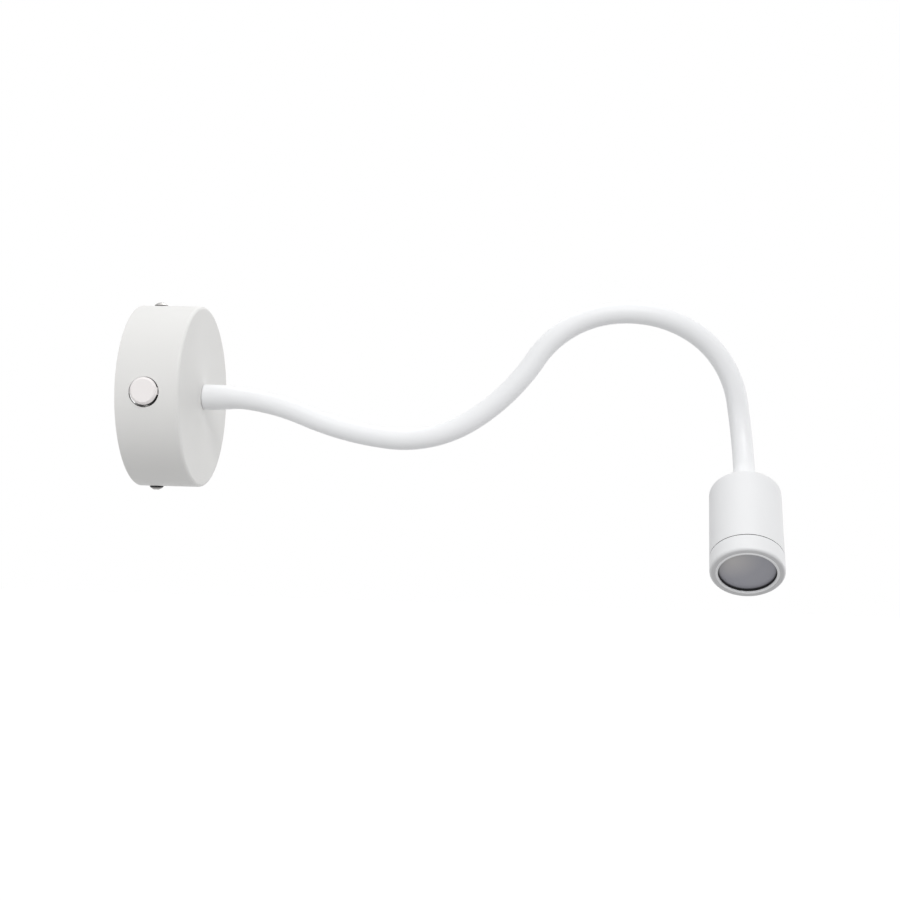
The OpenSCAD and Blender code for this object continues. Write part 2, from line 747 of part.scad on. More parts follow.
module wire_earth() {
    color("yellowgreen") {
        wire_along(curve(earth_route, 4), wire_d);
        translate([bracket_t, 0, earth_screw_z]) {
            along_canopy() pipe(earth_lug_d, earth_screw_d + 2 * slip_gap, earth_lug_t);
            translate([0, -wire_d / 2, -earth_lug_d / 2 - 0.9 * wire_d])
                cube([earth_lug_t, wire_d, 1.1 * wire_d]);
        }
    }
}

module driver_leads() {
    color("firebrick") for (s = [-1, 1]) wire_along(curve(lamp_route(s), 4), lead_d);
}

// Ferrules that hold the ends of the arm, local +Z from the thread to the sleeve
module ferrule(thread_len) {
    difference() {
        union() {
            cylinder(d = ferrule_d, h = ferrule_len);
            translate([0, 0, -thread_len]) cylinder(d = thread_d, h = thread_len + 0.1);
        }
        translate([0, 0, -thread_len - 1]) cylinder(r = hose_in_r, h = thread_len + ferrule_len);
        translate([0, 0, ferrule_len - socket_depth]) cylinder(r = hose_r + slip_gap, h = ferrule_len);
    }
}

module base_ferrule() {
    color("silver") translate([canopy_depth, 0, 0]) along_canopy() ferrule(base_thread_len);
}

module base_washer() {
    color("gainsboro")
        translate([front_in - washer_t, 0, 0])
            along_canopy() pipe(washer_d, thread_d + 2 * slip_gap, washer_t);
}

module base_nut() {
    color("gainsboro")
        translate([front_in - washer_t - nut_t, 0, 0])
            along_canopy() hex_nut(nut_w, thread_d + 2 * thread_gap, nut_t);
}

module head_ferrule() {
    color("silver") on_head() mirror([0, 0, 1]) ferrule(head_thread_len);
}

module head_nut() {
    color("gainsboro")
        on_head() translate([0, 0, housing_end_t]) hex_nut(nut_w, thread_d + 2 * thread_gap, nut_t);
}

// Sweeps a flat profile along arm section i and a little past its end
module along_section(i, extra) {
    multmatrix(frames[i])
        if (bend_angle(i) < straight_limit) linear_extrude(arc_len(i) + extra) children();
        else
            rotate(bend_roll(i) + 180) rotate([90, 0, 0]) translate([-bend_radius(i), 0, 0])
                rotate_extrude(angle = bend_angle(i) * (1 + extra / arc_len(i)))
                    translate([bend_radius(i), 0]) children();
}

// Inner section between two round seams: its end is a ball face that turns in the next one's hollow face
module between_seams(i) {
    difference() {
        along_section(i, seam_r + 1) children();
        multmatrix(frames[i]) sphere(seam_r + seam_gap);
        multmatrix(frames[i + 1])
            difference() {
                translate([0, 0, 0.2 * seam_r]) cylinder(r = 2 * seam_r, h = 2 * seam_r);
                sphere(seam_r);
            }
    }
}

module annulus(r, in_r) {
    difference() {
        circle(r);
        circle(in_r);
    }
}

module sleeve(i) { color("white") between_seams(i) annulus(tube_r, sleeve_in_r); }

module hose(i) { color("silver") between_seams(i) annulus(hose_r, hose_in_r); }

// The two leads, placed in the section's profile so that they run on without twist
module leads(i) {
    roll = bend_angle(i) < straight_limit ? 0 : bend_roll(i);
    color("firebrick")
        for (s = [-1, 1])
            between_seams(i)
                translate([-s * lead_off * sin(roll), s * lead_off * cos(roll)]) circle(d = lead_d);
}

// End sections run straight into a ferrule; distances are measured from the ferrule's end along the arm.
// The last section is the first one reversed, with a hollow face at its seam.
function ball_r(last) = last ? seam_r + seam_gap : seam_r;
function seam_reach(r, last) = arc_len(last ? sections - 1 : 0) + (last ? -1 : 1) * sqrt(pow(ball_r(last), 2) - r * r);
function end_frame(s, last) = last ? frame_at(sections - 1, arc_len(sections - 1) - s) : frame_at(0, s);
function spread(from, to, steps) = [for (k = [0:steps]) from + (to - from) * k / steps];

// Tube wall from stations [distance, radius] along its outside and back along its inside
module end_tube(stations, last, sides = 24) {
    rings = [for (q = stations) ring(end_frame(q[0], last), q[1], sides)];
    tube_wall(last ? [for (k = [len(rings) - 1:-1:0]) rings[k]] : rings, sides);
}

// Sleeve stretched over the ferrule, tapering to the arm's own size
module end_sleeve(taper, last) {
    foot = slip_gap - ferrule_len;
    taper_end = taper - flare_lead_in;
    near = concat([foot], spread(-flare_lead_in, taper_end, 8));
    out_stations = [for (s = near) [s, flare_r + (tube_r - flare_r) * ease((s + flare_lead_in) / taper)]];
    in_stations = [for (s = near)
        [s, flare_in_r + (sleeve_in_r - flare_in_r) * ease((s - slip_gap) / (taper_end - slip_gap))]];
    out_far = [for (s = spread(taper_end + 3, seam_reach(tube_r, last), 6)) [s, tube_r]];
    in_far = [for (s = spread(taper_end + 3, seam_reach(sleeve_in_r, last), 6)) [s, sleeve_in_r]];
    back = concat(in_stations, in_far);
    color("white")
        end_tube(concat(out_stations, out_far, [for (k = [len(back) - 1:-1:0]) back[k]]), last);
}

// Hose pushed into the ferrule's socket
module end_hose(last) {
    foot = slip_gap - socket_depth;
    out_stations = [for (s = concat([foot], spread(0, seam_reach(hose_r, last), 8))) [s, hose_r]];
    in_stations = [for (s = concat(spread(seam_reach(hose_in_r, last), 0, 8), [foot])) [s, hose_in_r]];
    color("silver") end_tube(concat(out_stations, in_stations), last);
}

// Leads that run through the ferrule and its thread
module end_leads(thread_len, last) {
    foot = -ferrule_len - thread_len;
    reach = seam_reach(lead_off + (last ? -1 : 1) * lead_d / 2, last);
    color("firebrick")
        for (s = [-1, 1])
            wire_along(
                [for (d = concat([foot], spread(0, reach, 10)))
                    placed(end_frame(d, last), [0, s * lead_off, 0])],
                lead_d);
}

// Head
module head_housing() {
    color("white")
        on_head()
            difference() {
                translate([0, 0, housing_len]) mirror([0, 0, 1])
                    rotate_extrude() rounded_disc(head_r, housing_len, housing_fillet);
                translate([0, 0, -1]) cylinder(d = thread_d + 2 * slip_gap, h = housing_len);
                translate([0, 0, housing_end_t]) cylinder(r = housing_in_r, h = housing_len);
                translate([0, 0, sink_step]) cylinder(r = counterbore_r, h = housing_len);
            }
}

module heat_sink() {
    groove_w = 1.2;
    grooves = 3;
    color("lightgray")
        on_head()
            difference() {
                union() {
                    translate([0, 0, sink_back]) cylinder(r = housing_in_r - slip_gap, h = sink_len + 0.1);
                    translate([0, 0, sink_step]) cylinder(r = spigot_r - slip_gap, h = sink_flange_t);
                }
                // cooling grooves round the body
                for (k = [1:grooves])
                    translate([0, 0, sink_back + k * sink_len / (grooves + 1) - groove_w / 2])
                        pipe(2 * head_r, 2 * (housing_in_r - 3), groove_w);
                translate([lead_hole_r, 0, 0]) cylinder(d = lead_hole_d, h = head_len);
                for (s = [-1, 1])
                    translate([0, s * board_screw_r, sink_front - board_screw_len])
                        cylinder(d = board_screw_d + 2 * thread_gap, h = board_screw_len + 1);
            }
}

module led_board() {
    color("ivory")
        on_head()
            translate([0, 0, sink_front])
                difference() {
                    cylinder(r = board_r, h = board_t);
                    translate([lead_hole_r, 0, -1]) cylinder(d = lead_hole_d, h = board_t + 2);
                    for (s = [-1, 1])
                        translate([0, s * board_screw_r, -1])
                            cylinder(d = board_screw_d + 2 * slip_gap, h = board_t + 2);
                }
}

module led_chip() {
    color("khaki")
        on_head()
            translate([0, 0, board_front]) {
                translate([-chip_w / 2, -chip_w / 2, 0]) cube([chip_w, chip_w, chip_t]);
                intersection() {
                    translate([0, 0, chip_t / 2]) sphere(dome_r);
                    cylinder(r = dome_r, h = 2 * dome_r);
                }
            }
}

module board_screws() {
    color("gainsboro")
        on_head()
            for (s = [-1, 1])
                translate([0, s * board_screw_r, board_front])
                    pan_screw(board_screw_d, board_screw_head_d, board_screw_head_h,
                        board_t + board_screw_len - wire_play);
}

module reflector() {
    throat_r = chip_w * 0.75;
    flange_back = lens_back - reflector_flange_t;
    mouth_r = lens_r - 1.5 * reflector_wall;
    color("lightgray")
        on_head()
            rotate_extrude()
                polygon([
                    [throat_r, board_front], [throat_r + reflector_wall, board_front],
                    [mouth_r + reflector_wall / 2, flange_back], [lens_r, flange_back],
                    [lens_r, lens_back], [mouth_r, lens_back]]);
}

module lens() {
    color("lightslategray") on_head() translate([0, 0, lens_back]) cylinder(r = lens_r, h = lens_t);
}

module lens_gasket() {
    color("black") on_head() translate([0, 0, gasket_back]) pipe(2 * lens_r, 2 * gasket_in_r, gasket_t);
}

module bezel() {
    face_len = bezel_len - bezel_seam - bead_h;
    // the bead is the top of a round whose chord is the bead's width
    bead_r = (pow(bead_w / 2, 2) + pow(bead_h, 2)) / (2 * bead_h);
    color("white")
        on_head()
            difference() {
                union() {
                    translate([0, 0, housing_len + bezel_seam])
                        rotate_extrude() {
                            rounded_disc(head_r, face_len, bezel_round);
                            translate([opening_r + 0.45 * bead_w, face_len + bead_h - bead_r]) circle(bead_r);
                        }
                    translate([0, 0, spigot_back]) cylinder(r = spigot_r, h = spigot_len + bezel_len / 2);
                }
                translate([0, 0, spigot_back - 1]) cylinder(r = spigot_in_r, h = lip_back - spigot_back + 1);
                translate([0, 0, lip_back - 1]) cylinder(r = opening_r, h = lip_t + 2);
            }
}

module head_leads() {
    start = head_thread_len + lead_gap;
    rise = sink_back - start;
    spread_off = lead_off + slip_gap;
    color("firebrick")
        on_head()
            for (s = [-1, 1])
                wire_along(
                    curve([
                        [0, s * lead_off, start], [0, s * lead_off, start + 0.15 * rise],
                        [0.3 * lead_hole_r, s * spread_off, start + 0.4 * rise],
                        [0.8 * lead_hole_r, s * spread_off, start + 0.65 * rise],
                        [lead_hole_r, s * spread_off, sink_back], [lead_hole_r, s * spread_off, sink_step],
                        [lead_hole_r, s * spread_off, board_front + lead_d / 3]], 4),
                    lead_d);
}

canopy();
mounting_bracket();
canopy_screws();
cable_grommet();
earth_screw();
terminal_block();
terminal_screws();
terminal_pad();
driver_case();
driver_pad();
switch_bracket();
switch_body();
switch_nut();
switch_blades();
switch_spring();
push_button();
wire_live();
wire_switched();
wire_neutral();
wire_earth();
driver_leads();
base_ferrule();
base_washer();
base_nut();
end_sleeve(base_taper, false);  // sleeve_1
end_hose(false);  // hose_1
end_leads(base_thread_len, false);  // leads_1
for (i = [1:sections - 2]) {
    sleeve(i);
    hose(i);
    leads(i);
}
end_sleeve(head_taper, true);  // sleeve_8
end_hose(true);  // hose_8
end_leads(head_thread_len, true);  // leads_8
head_ferrule();
head_nut();
head_housing();
heat_sink();
led_board();
led_chip();
board_screws();
reflector();
lens();
lens_gasket();
bezel();
head_leads();
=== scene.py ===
"""Flexible wall light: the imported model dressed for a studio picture.

A round white canopy with a push button carries a sleeved gooseneck arm and a small spot head.
Lengths are metres in the part's own frame: +X out of the wall, +Z up, the button on the -Y side.
"""
import logging
import math
from dataclasses import dataclass, field
from enum import Enum
from functools import cached_property
from itertools import accumulate

import bpy
import numpy as np
from mathutils import Matrix, Vector
from numpy.typing import NDArray


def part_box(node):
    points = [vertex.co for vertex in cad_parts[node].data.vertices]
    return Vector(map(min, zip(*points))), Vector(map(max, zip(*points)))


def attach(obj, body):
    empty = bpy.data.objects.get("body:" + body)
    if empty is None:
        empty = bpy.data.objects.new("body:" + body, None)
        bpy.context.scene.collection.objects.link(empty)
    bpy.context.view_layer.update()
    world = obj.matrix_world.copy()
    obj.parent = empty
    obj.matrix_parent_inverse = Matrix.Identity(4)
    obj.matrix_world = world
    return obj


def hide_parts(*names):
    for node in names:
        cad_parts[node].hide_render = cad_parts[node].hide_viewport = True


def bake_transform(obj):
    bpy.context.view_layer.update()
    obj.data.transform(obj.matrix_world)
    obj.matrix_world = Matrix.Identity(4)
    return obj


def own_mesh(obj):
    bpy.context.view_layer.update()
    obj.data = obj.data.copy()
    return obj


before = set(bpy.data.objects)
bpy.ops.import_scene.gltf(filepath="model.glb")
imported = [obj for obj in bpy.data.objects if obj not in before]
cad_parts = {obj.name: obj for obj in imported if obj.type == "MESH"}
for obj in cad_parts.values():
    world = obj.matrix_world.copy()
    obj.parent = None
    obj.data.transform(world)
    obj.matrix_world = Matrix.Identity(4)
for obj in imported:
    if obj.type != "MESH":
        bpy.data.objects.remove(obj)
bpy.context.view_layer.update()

LOG = logging.getLogger("wall_light")

Array = NDArray[np.float64]
Colour = tuple[float, float, float]
Point = tuple[float, float, float]
Pair = tuple[float, float]
Route = list[Point | Array]
Socket = bpy.types.NodeSocket

MM = 0.001
ORIGIN: Point = (0.0, 0.0, 0.0)
UNIT: Point = (1.0, 1.0, 1.0)
WHITE = (1.0, 1.0, 1.0, 1.0)
# faces that meet at a larger angle have a sharp edge between them
SHARP_ANGLE = math.radians(40)
# a path that starts with more of its tangent along Z than this finds its first side from X
STEEP = 0.9
# most of a noise lies in this span
NOISE_SPAN: Pair = (0.3, 0.7)
# levels of detail in the noise of colour, gloss and surface
COLOUR_DETAIL = 4.0
GLOSS_DETAIL = 3.0
GRAIN_DETAIL = 2.0
# gloss wanders in patches this many times smaller than the colour's
GLOSS_FINER = 3.0


class Body(str, Enum):
    """Bodies that pieces ride on."""

    BASE = "base"
    HEAD = "head"


class Coords(str, Enum):
    """Coordinates that a pattern follows."""

    OBJECT = "Object"
    UV = "UV"


class Ends(Enum):
    """How a swept tube is closed."""

    CAPPED = 1
    SHELL = 2


class Sum(str, Enum):
    """Sums that a node works out on one or two sockets."""

    ADD = "ADD"
    SUBTRACT = "SUBTRACT"
    MULTIPLY = "MULTIPLY"
    POWER = "POWER"
    SQUARE_ROOT = "SQRT"
    SINE = "SINE"
    FRACTION = "FRACT"
    ABOVE = "GREATER_THAN"
    BELOW = "LESS_THAN"
    LARGER = "MAXIMUM"


# Surfaces
def quads(rows: int, columns: int, close_rows: bool) -> NDArray[np.int64]:
    """Faces of a grid of points whose columns run round a closed ring.

    Args:
        rows: Number of rings.
        columns: Points in one ring.
        close_rows: Whether the last ring joins the first.

    Returns:
        One row of four point numbers for each face, pointing outwards.
    """
    ring = np.arange(rows if close_rows else rows - 1)[:, None]
    turn = np.arange(columns)[None, :]
    after, beside = (ring + 1) % rows, (turn + 1) % columns
    corners = ((ring, turn), (ring, beside), (after, beside), (after, turn))
    return np.stack([row * columns + column for row, column in corners], axis=-1).reshape(-1, 4)


def grid_object(name: str, rings: Array, ends: Ends, uv: Array) -> bpy.types.Object:
    """Puts a grid of rings into a mesh with smooth faces, sharp rims and a UV map in metres.

    Args:
        name: Name of the piece.
        rings: Points as (rings, points in a ring, 3).
        ends: Whether the ends are capped, or the rings close on themselves as a shell does.
        uv: Distance along and around, as (rings, points in a ring, 2).

    Returns:
        The new object, at the origin.
    """
    rows, columns, _ = rings.shape
    faces = quads(rows, columns, ends is Ends.SHELL).tolist()
    if ends is Ends.CAPPED:
        faces += [list(range(columns))[::-1], list(range((rows - 1) * columns, rows * columns))]
    mesh = bpy.data.meshes.new(name)
    mesh.from_pydata(rings.reshape(-1, 3), [], faces)
    corner_points = np.zeros(len(mesh.loops), np.int32)
    mesh.loops.foreach_get("vertex_index", corner_points)
    layer = mesh.uv_layers.new(name="along_around")
    layer.data.foreach_set("uv", uv.reshape(-1, 2)[corner_points].astype(np.float32).ravel())
    mesh.polygons.foreach_set("use_smooth", np.ones(len(mesh.polygons), bool))
    mesh.set_sharp_from_angle(angle=SHARP_ANGLE)
    mesh.update()
    piece = bpy.data.objects.new(name, mesh)
    bpy.context.scene.collection.objects.link(piece)
    return piece


def ring_angles(count: int) -> Array:
    """Equal steps once round, from 0: a full turn times each step's share of the count."""
    return np.linspace(0.0, math.tau, count, endpoint=False)


def swept_rings(centre: Array, across: Array, over: Array, radius: Array, sides: int) -> Array:
    """Rings of the given radius round each point of a path, in the plane of two side directions.

    The point at turn a is centre + radius * (cos a * across + sin a * over).

    Args:
        centre: Path points, (n, 3).
        across: First side direction at each point, (n, 3).
        over: Second side direction at each point, (n, 3).
        radius: Radius at each point, (n,), or at each point and turn, (n, sides).
        sides: Points in a ring.

    Returns:
        Points as (n, sides, 3).
    """
    turn = ring_angles(sides)[None, :, None]
    spoke = np.cos(turn) * across[:, None] + np.sin(turn) * over[:, None]
    return centre[:, None] + radius.reshape(len(centre), -1, 1) * spoke


def along_around(distance: Array, radius: float, sides: int) -> Array:
    """UV of a swept tube in metres: distance along the path, and arc length round the ring.

    Args:
        distance: Distance of each ring along the path, (n,).
        radius: Radius that the arc length is taken at.
        sides: Points in a ring.

    Returns:
        UV as (n, sides, 2).
    """
    arc = radius * ring_angles(sides)
    return np.stack(np.broadcast_arrays(distance[:, None], arc[None, :]), axis=-1)


def ease(share: Array) -> Array:
    """Smooth step from 0 to 1: 3c^2 - 2c^3 of the share held between 0 and 1."""
    held = np.clip(share, 0.0, 1.0)
    return held * held * (3.0 - 2.0 * held)


def smooth_route(points: Route, steps: int) -> Array:
    """Catmull-Rom curve through the points of a route, each stretch cut into equal steps.

    Args:
        points: Points of the route, in millimetres.
        steps: Steps in each stretch.

    Returns:
        Points of the curve in metres, (n, 3).
    """
    p = np.asarray(points, float) * MM
    padded = np.vstack([p[:1], p, p[-1:]])
    a, b, c, d = (padded[k:k + len(p) - 1, None] for k in range(4))
    t = np.linspace(0.0, 1.0, steps, endpoint=False)[None, :, None]
    slope, lift, twist = c - a, 2 * a - 5 * b + 4 * c - d, 3 * b - a - 3 * c + d
    curve = 0.5 * (2 * b + slope * t + lift * t**2 + twist * t**3)
    return np.vstack([curve.reshape(-1, 3), p[-1:]])


def carried_frames(centre: Array) -> tuple[Array, Array]:
    """Side directions of a path, carried from ring to ring without twist.

    Each direction is the last one less its share along the new tangent, made a unit again.

    Args:
        centre: Path points, (n, 3).

    Returns:
        The two side directions at each point, each (n, 3).
    """
    tangent = np.gradient(centre, axis=0)
    tangent /= np.linalg.norm(tangent, axis=1, keepdims=True)
    helper = (0.0, 0.0, 1.0) if abs(tangent[0, 2]) < STEEP else (1.0, 0.0, 0.0)
    first = np.cross(tangent[0], helper)

    def carry(side: Array, along: Array) -> Array:
        """The side direction at the next point."""
        flat = side - (side @ along) * along
        return flat / np.linalg.norm(flat)

    across = np.array(list(accumulate(tangent[1:], carry, initial=first / np.linalg.norm(first))))
    return across, np.cross(tangent, across)


def wire_object(name: str, centre: Array, radius: float, sides: int) -> bpy.types.Object:
    """Round wire: a circle carried along a path without twist, closed at both ends.

    Its UV runs with the length of the path, summed from point to point.

    Args:
        name: Name of the piece.
        centre: Path points, (n, 3).
        radius: Radius of the wire.
        sides: Points in a ring.

    Returns:
        The new object, at the origin.
    """
    steps = np.linalg.norm(np.diff(centre, axis=0), axis=1)
    run = np.concatenate([[0.0], np.cumsum(steps)])
    rings = swept_rings(centre, *carried_frames(centre), np.full(len(centre), radius), sides)
    return grid_object(name, rings, Ends.CAPPED, along_around(run, radius, sides))


# Finishes
def shaded(colour: Colour, factor: float) -> Colour:
    """The colour times a factor."""
    return tuple(min(1.0, channel * factor) for channel in colour)


def opposite(point: Point) -> Point:
    """The point on the other side of the origin."""
    return tuple(-value for value in point)


class Nodes:
    """A node tree, with short calls that add its nodes and join them."""

    def __init__(self, tree: bpy.types.NodeTree) -> None:
        """Takes a tree and empties it."""
        self.tree = tree
        tree.nodes.clear()

    def feed(self, socket: Socket, value: object) -> None:
        """Links an input to another socket, or sets its constant.

        Args:
            socket: The input.
            value: A socket, or a constant.
        """
        if isinstance(value, Socket):
            self.tree.links.new(value, socket)
        else:
            socket.default_value = value

    def add(self, kind: str, inputs: dict[str | int, object], **settings: object) -> bpy.types.ShaderNode:
        """Adds a node.

        Args:
            kind: Blender's name for that kind of node.
            inputs: Sockets and constants for its inputs, by their names or numbers.
            settings: Its other settings.

        Returns:
            The node.
        """
        node = self.tree.nodes.new(kind)
        for key, value in settings.items():
            setattr(node, key, value)
        for key, value in inputs.items():
            self.feed(node.inputs[key], value)
        return node

    def place(
        self, coords: Coords, stretch: Point = UNIT, turn: Point = ORIGIN, shift: Point = ORIGIN
    ) -> Socket:
        """Coordinates that are stretched, then turned, then shifted.

        Args:
            coords: Which coordinates.
            stretch: Factor on each axis.
            turn: Euler angles of the turn.
            shift: What is added on each axis at the end.

        Returns:
            The vector socket.
        """
        source = self.add("ShaderNodeTexCoord", {}).outputs[coords.value]
        inputs = {"Vector": source, "Scale": stretch, "Rotation": turn, "Location": shift}
        return self.add("ShaderNodeMapping", inputs).outputs["Vector"]

    def split(self, vector: Socket) -> tuple[Socket, ...]:
        """The three parts of a vector."""
        parts = self.add("ShaderNodeSeparateXYZ", {"Vector": vector}).outputs
        return tuple(parts[axis] for axis in "XYZ")

    def axes(self, turn: Point = ORIGIN, shift: Point = ORIGIN) -> tuple[Socket, ...]:
        """The three object coordinates, turned and then shifted."""
        return self.split(self.place(Coords.OBJECT, turn=turn, shift=shift))

    def noise(self, vector: Socket, grain: float, detail: float) -> Socket:
        """Soft noise whose patches are about grain metres across."""
        inputs = {"Vector": vector, "Scale": 1.0 / grain, "Detail": detail}
        return self.add("ShaderNodeTexNoise", inputs).outputs["Fac"]

    def between(self, factor: Socket, low: float, high: float, span: Pair = NOISE_SPAN) -> Socket:
        """Maps a factor's span to low and high, and holds it there outside the span."""
        inputs = {"Value": factor, "From Min": span[0], "From Max": span[1], "To Min": low, "To Max": high}
        return self.add("ShaderNodeMapRange", inputs).outputs["Result"]

    def blend(self, factor: Socket, first: Colour | Socket, second: Colour | Socket) -> Socket:
        """Colour that goes from first to second with the factor.

        Args:
            factor: 0 for the first, 1 for the second.
            first: A colour, or a colour's socket.
            second: Likewise.

        Returns:
            The colour socket.
        """
        node = self.add("ShaderNodeMix", {}, data_type="RGBA")
        inputs = {socket.identifier: socket for socket in node.inputs}
        self.feed(inputs["Factor_Float"], factor)
        for key, colour in (("A_Color", first), ("B_Color", second)):
            self.feed(inputs[key], colour if isinstance(colour, Socket) else (*colour, 1.0))
        return next(socket for socket in node.outputs if socket.identifier == "Result_Color")

    def bump(self, height: Socket, depth: float, under: Socket | None = None) -> Socket:
        """Normal bent by a height.

        Args:
            height: The height that bends it.
            depth: What a height of 1 stands for, in metres.
            under: Another bump that it lies on, if any.

        Returns:
            The normal's socket.
        """
        inputs = {"Strength": 1.0, "Distance": depth, "Height": height}
        if under is not None:
            inputs["Normal"] = under
        return self.add("ShaderNodeBump", inputs).outputs["Normal"]

    def work(self, operation: Sum, first: Socket, second: float | Socket = 0.0) -> Socket:
        """Result of one sum on a socket and a number or a second socket."""
        return self.add("ShaderNodeMath", {0: first, 1: second}, operation=operation.value).outputs["Value"]

    def times(self, first: Socket, second: float | Socket) -> Socket:
        """Product of a socket and a number or a second socket, also for what lies in both of two masks."""
        return self.work(Sum.MULTIPLY, first, second)

    def above(self, value: Socket, limit: float) -> Socket:
        """Mask of what is above a limit."""
        return self.work(Sum.ABOVE, value, limit)

    def below(self, value: Socket, limit: float) -> Socket:
        """Mask of what is below a limit."""
        return self.work(Sum.BELOW, value, limit)

    def radius(self, first: Socket, second: Socket) -> Socket:
        """Distance from an axis: the root of the two squared coordinates across it."""
        squares = (self.work(Sum.POWER, part, 2.0) for part in (first, second))
        return self.work(Sum.SQUARE_ROOT, self.work(Sum.ADD, *squares))

    def distance(self, centre: Point) -> Socket:
        """Distance from a point, in object coordinates."""
        away = self.place(Coords.OBJECT, shift=opposite(centre))
        return self.add("ShaderNodeVectorMath", {0: away}, operation="LENGTH").outputs["Value"]


class SurfaceNodes(Nodes):
    """Nodes of a material with one principled shader."""

    def __init__(self, name: str) -> None:
        """Starts the material.

        Args:
            name: Name of the material.
        """
        self.material = bpy.data.materials.new(name)
        self.material.use_nodes = True
        super().__init__(self.material.node_tree)
        self.shader = self.add("ShaderNodeBsdfPrincipled", {})
        self.add("ShaderNodeOutputMaterial", {"Surface": self.shader.outputs["BSDF"]})

    def give(self, **sockets: object) -> None:
        """Sets or links the shader's sockets, named with _ for a space."""
        for key, value in sockets.items():
            self.feed(self.shader.inputs[key.replace("_", " ")], value)

    def present(self, socket: str) -> Socket:
        """What is linked to one of the shader's sockets at present."""
        return self.shader.inputs[socket].links[0].from_socket

    def recolour(self, mask: Socket, colour: Colour) -> None:
        """Goes from the present colour to another where the mask is."""
        self.give(Base_Color=self.blend(mask, self.present("Base Color"), colour))

    def engrave(self, height: Socket, depth: float) -> None:
        """Adds a height of depth metres on top of the present bump."""
        self.give(Normal=self.bump(height, depth, self.present("Normal")))


@dataclass(frozen=True)
class Finish:
    """A plain finish: slightly mottled colour, uneven gloss and a fine surface grain.

    Attributes:
        name: Name of the material.
        colour: Base colour, linear.
        roughness: Middle roughness.
        gloss_spread: How far the roughness wanders to each side.
        mottle: Share by which the colour wanders.
        mottle_size: Size of the colour's patches.
        grain: Size of the surface grain.
        depth: Depth of the surface grain.
        metallic: 1 for bare metal.
        slot: Its slot's name, where that differs from the material's name.
    """

    name: str
    colour: Colour
    roughness: float = 0.45
    gloss_spread: float = 0.05
    mottle: float = 0.05
    mottle_size: float = 0.004
    grain: float = 0.0005
    depth: float = 0.000008
    metallic: float = 0.0
    slot: str | None = None

    def sketch(self) -> SurfaceNodes:
        """Builds the common layers, each from a noise of its own size.

        Returns:
            The material's nodes.
        """
        nodes = SurfaceNodes(self.name)
        place = nodes.place(Coords.OBJECT)
        patches = nodes.noise(place, self.mottle_size, COLOUR_DETAIL)
        shine = nodes.noise(place, self.mottle_size / GLOSS_FINER, GLOSS_DETAIL)
        pits = nodes.noise(place, self.grain, GRAIN_DETAIL)
        dark, light = (shaded(self.colour, 1.0 + side * self.mottle / 2) for side in (-1, 1))
        smooth, rough = self.roughness - self.gloss_spread, self.roughness + self.gloss_spread
        nodes.give(
            Base_Color=nodes.blend(nodes.between(patches, 0.0, 1.0), dark, light),
            Roughness=nodes.between(shine, smooth, rough),
            Normal=nodes.bump(pits, self.depth),
            Metallic=self.metallic,
        )
        return nodes

    @cached_property
    def material(self) -> bpy.types.Material:
        """The Blender material, built once."""
        return self.sketch().material


@dataclass(frozen=True)
class SpunPaint(Finish):
    """Powder coat on a spun metal cup: orange peel, faint turning rings on its front face, and painted shade
    on the wall of the button's hole.

    Attributes:
        ring_pitch: Distance between turning rings.
        ring_depth: Depth of the rings.
        front: Height along X from which the rings show.
        hole_at: Place of the button's hole along X and Z.
        hole_r: Radius under which the hole's wall gets painted shade.
        hole_front: Place along Y before which the hole is.
        hole_shade_limit: Way up plus way back, from the hole's middle, from which the hole's wall has no
            painted shade.
        hole_shade: Colour of the painted shade in the hole.
    """

    roughness: float = 0.5
    gloss_spread: float = 0.04
    mottle: float = 0.012
    mottle_size: float = 0.03
    grain: float = 0.0011
    depth: float = 0.000012
    ring_pitch: float = 0.0011
    ring_depth: float = 0.000004
    front: float = 0.0266
    hole_at: Pair = (0.0124, -0.0004)
    hole_r: float = 0.00637
    hole_front: float = -0.03
    hole_shade_limit: float = 0.0055
    hole_shade: Colour = (0.02, 0.02, 0.02)

    def sketch(self) -> SurfaceNodes:
        """Adds the rings, a sine of the distance from the X axis on the front face, and painted shade on the
        hole's wall.

        Returns:
            The material's nodes.
        """
        nodes = super().sketch()
        x, y, z = nodes.axes()
        rings = nodes.work(Sum.SINE, nodes.times(nodes.radius(y, z), math.tau / self.ring_pitch))
        nodes.engrave(nodes.times(rings, nodes.above(x, self.front)), self.ring_depth)
        hole_x, hole_z = self.hole_at
        x, y, z = nodes.axes(shift=(-hole_x, 0.0, -hole_z))
        # painted shade on the wall of the button's hole, on the side towards +X and -Z only
        inside = nodes.times(nodes.below(nodes.radius(x, z), self.hole_r), nodes.below(y, self.hole_front))
        shaded_side = nodes.below(nodes.work(Sum.SUBTRACT, z, x), self.hole_shade_limit)
        nodes.recolour(nodes.times(inside, shaded_side), self.hole_shade)
        return nodes


@dataclass(frozen=True)
class SkirtedPlastic(Finish):
    """Moulded button: a pale cap and key over a skirt with painted shade, which ends just above the canopy's
    surface.

    Attributes:
        skirt_r: Distance from the X axis under which the skirt is.
        key_x: Place along X from which the pale key is.
        skirt: Colour of the painted shade on the skirt.
    """

    roughness: float = 0.36
    mottle: float = 0.015
    mottle_size: float = 0.006
    grain: float = 0.0006
    skirt_r: float = 0.0402
    key_x: float = 0.01795
    skirt: Colour = (0.02, 0.02, 0.021)

    def sketch(self) -> SurfaceNodes:
        """Adds painted shade on the skirt: what is nearer to the X axis than the skirt's end and isn't the
        key.

        Returns:
            The material's nodes.
        """
        nodes = super().sketch()
        x, y, z = nodes.axes()
        # painted shade on the skirt, down in the gap round the button, but not on the key
        low = nodes.below(nodes.radius(y, z), self.skirt_r)
        nodes.recolour(nodes.times(low, nodes.below(x, self.key_x)), self.skirt)
        return nodes


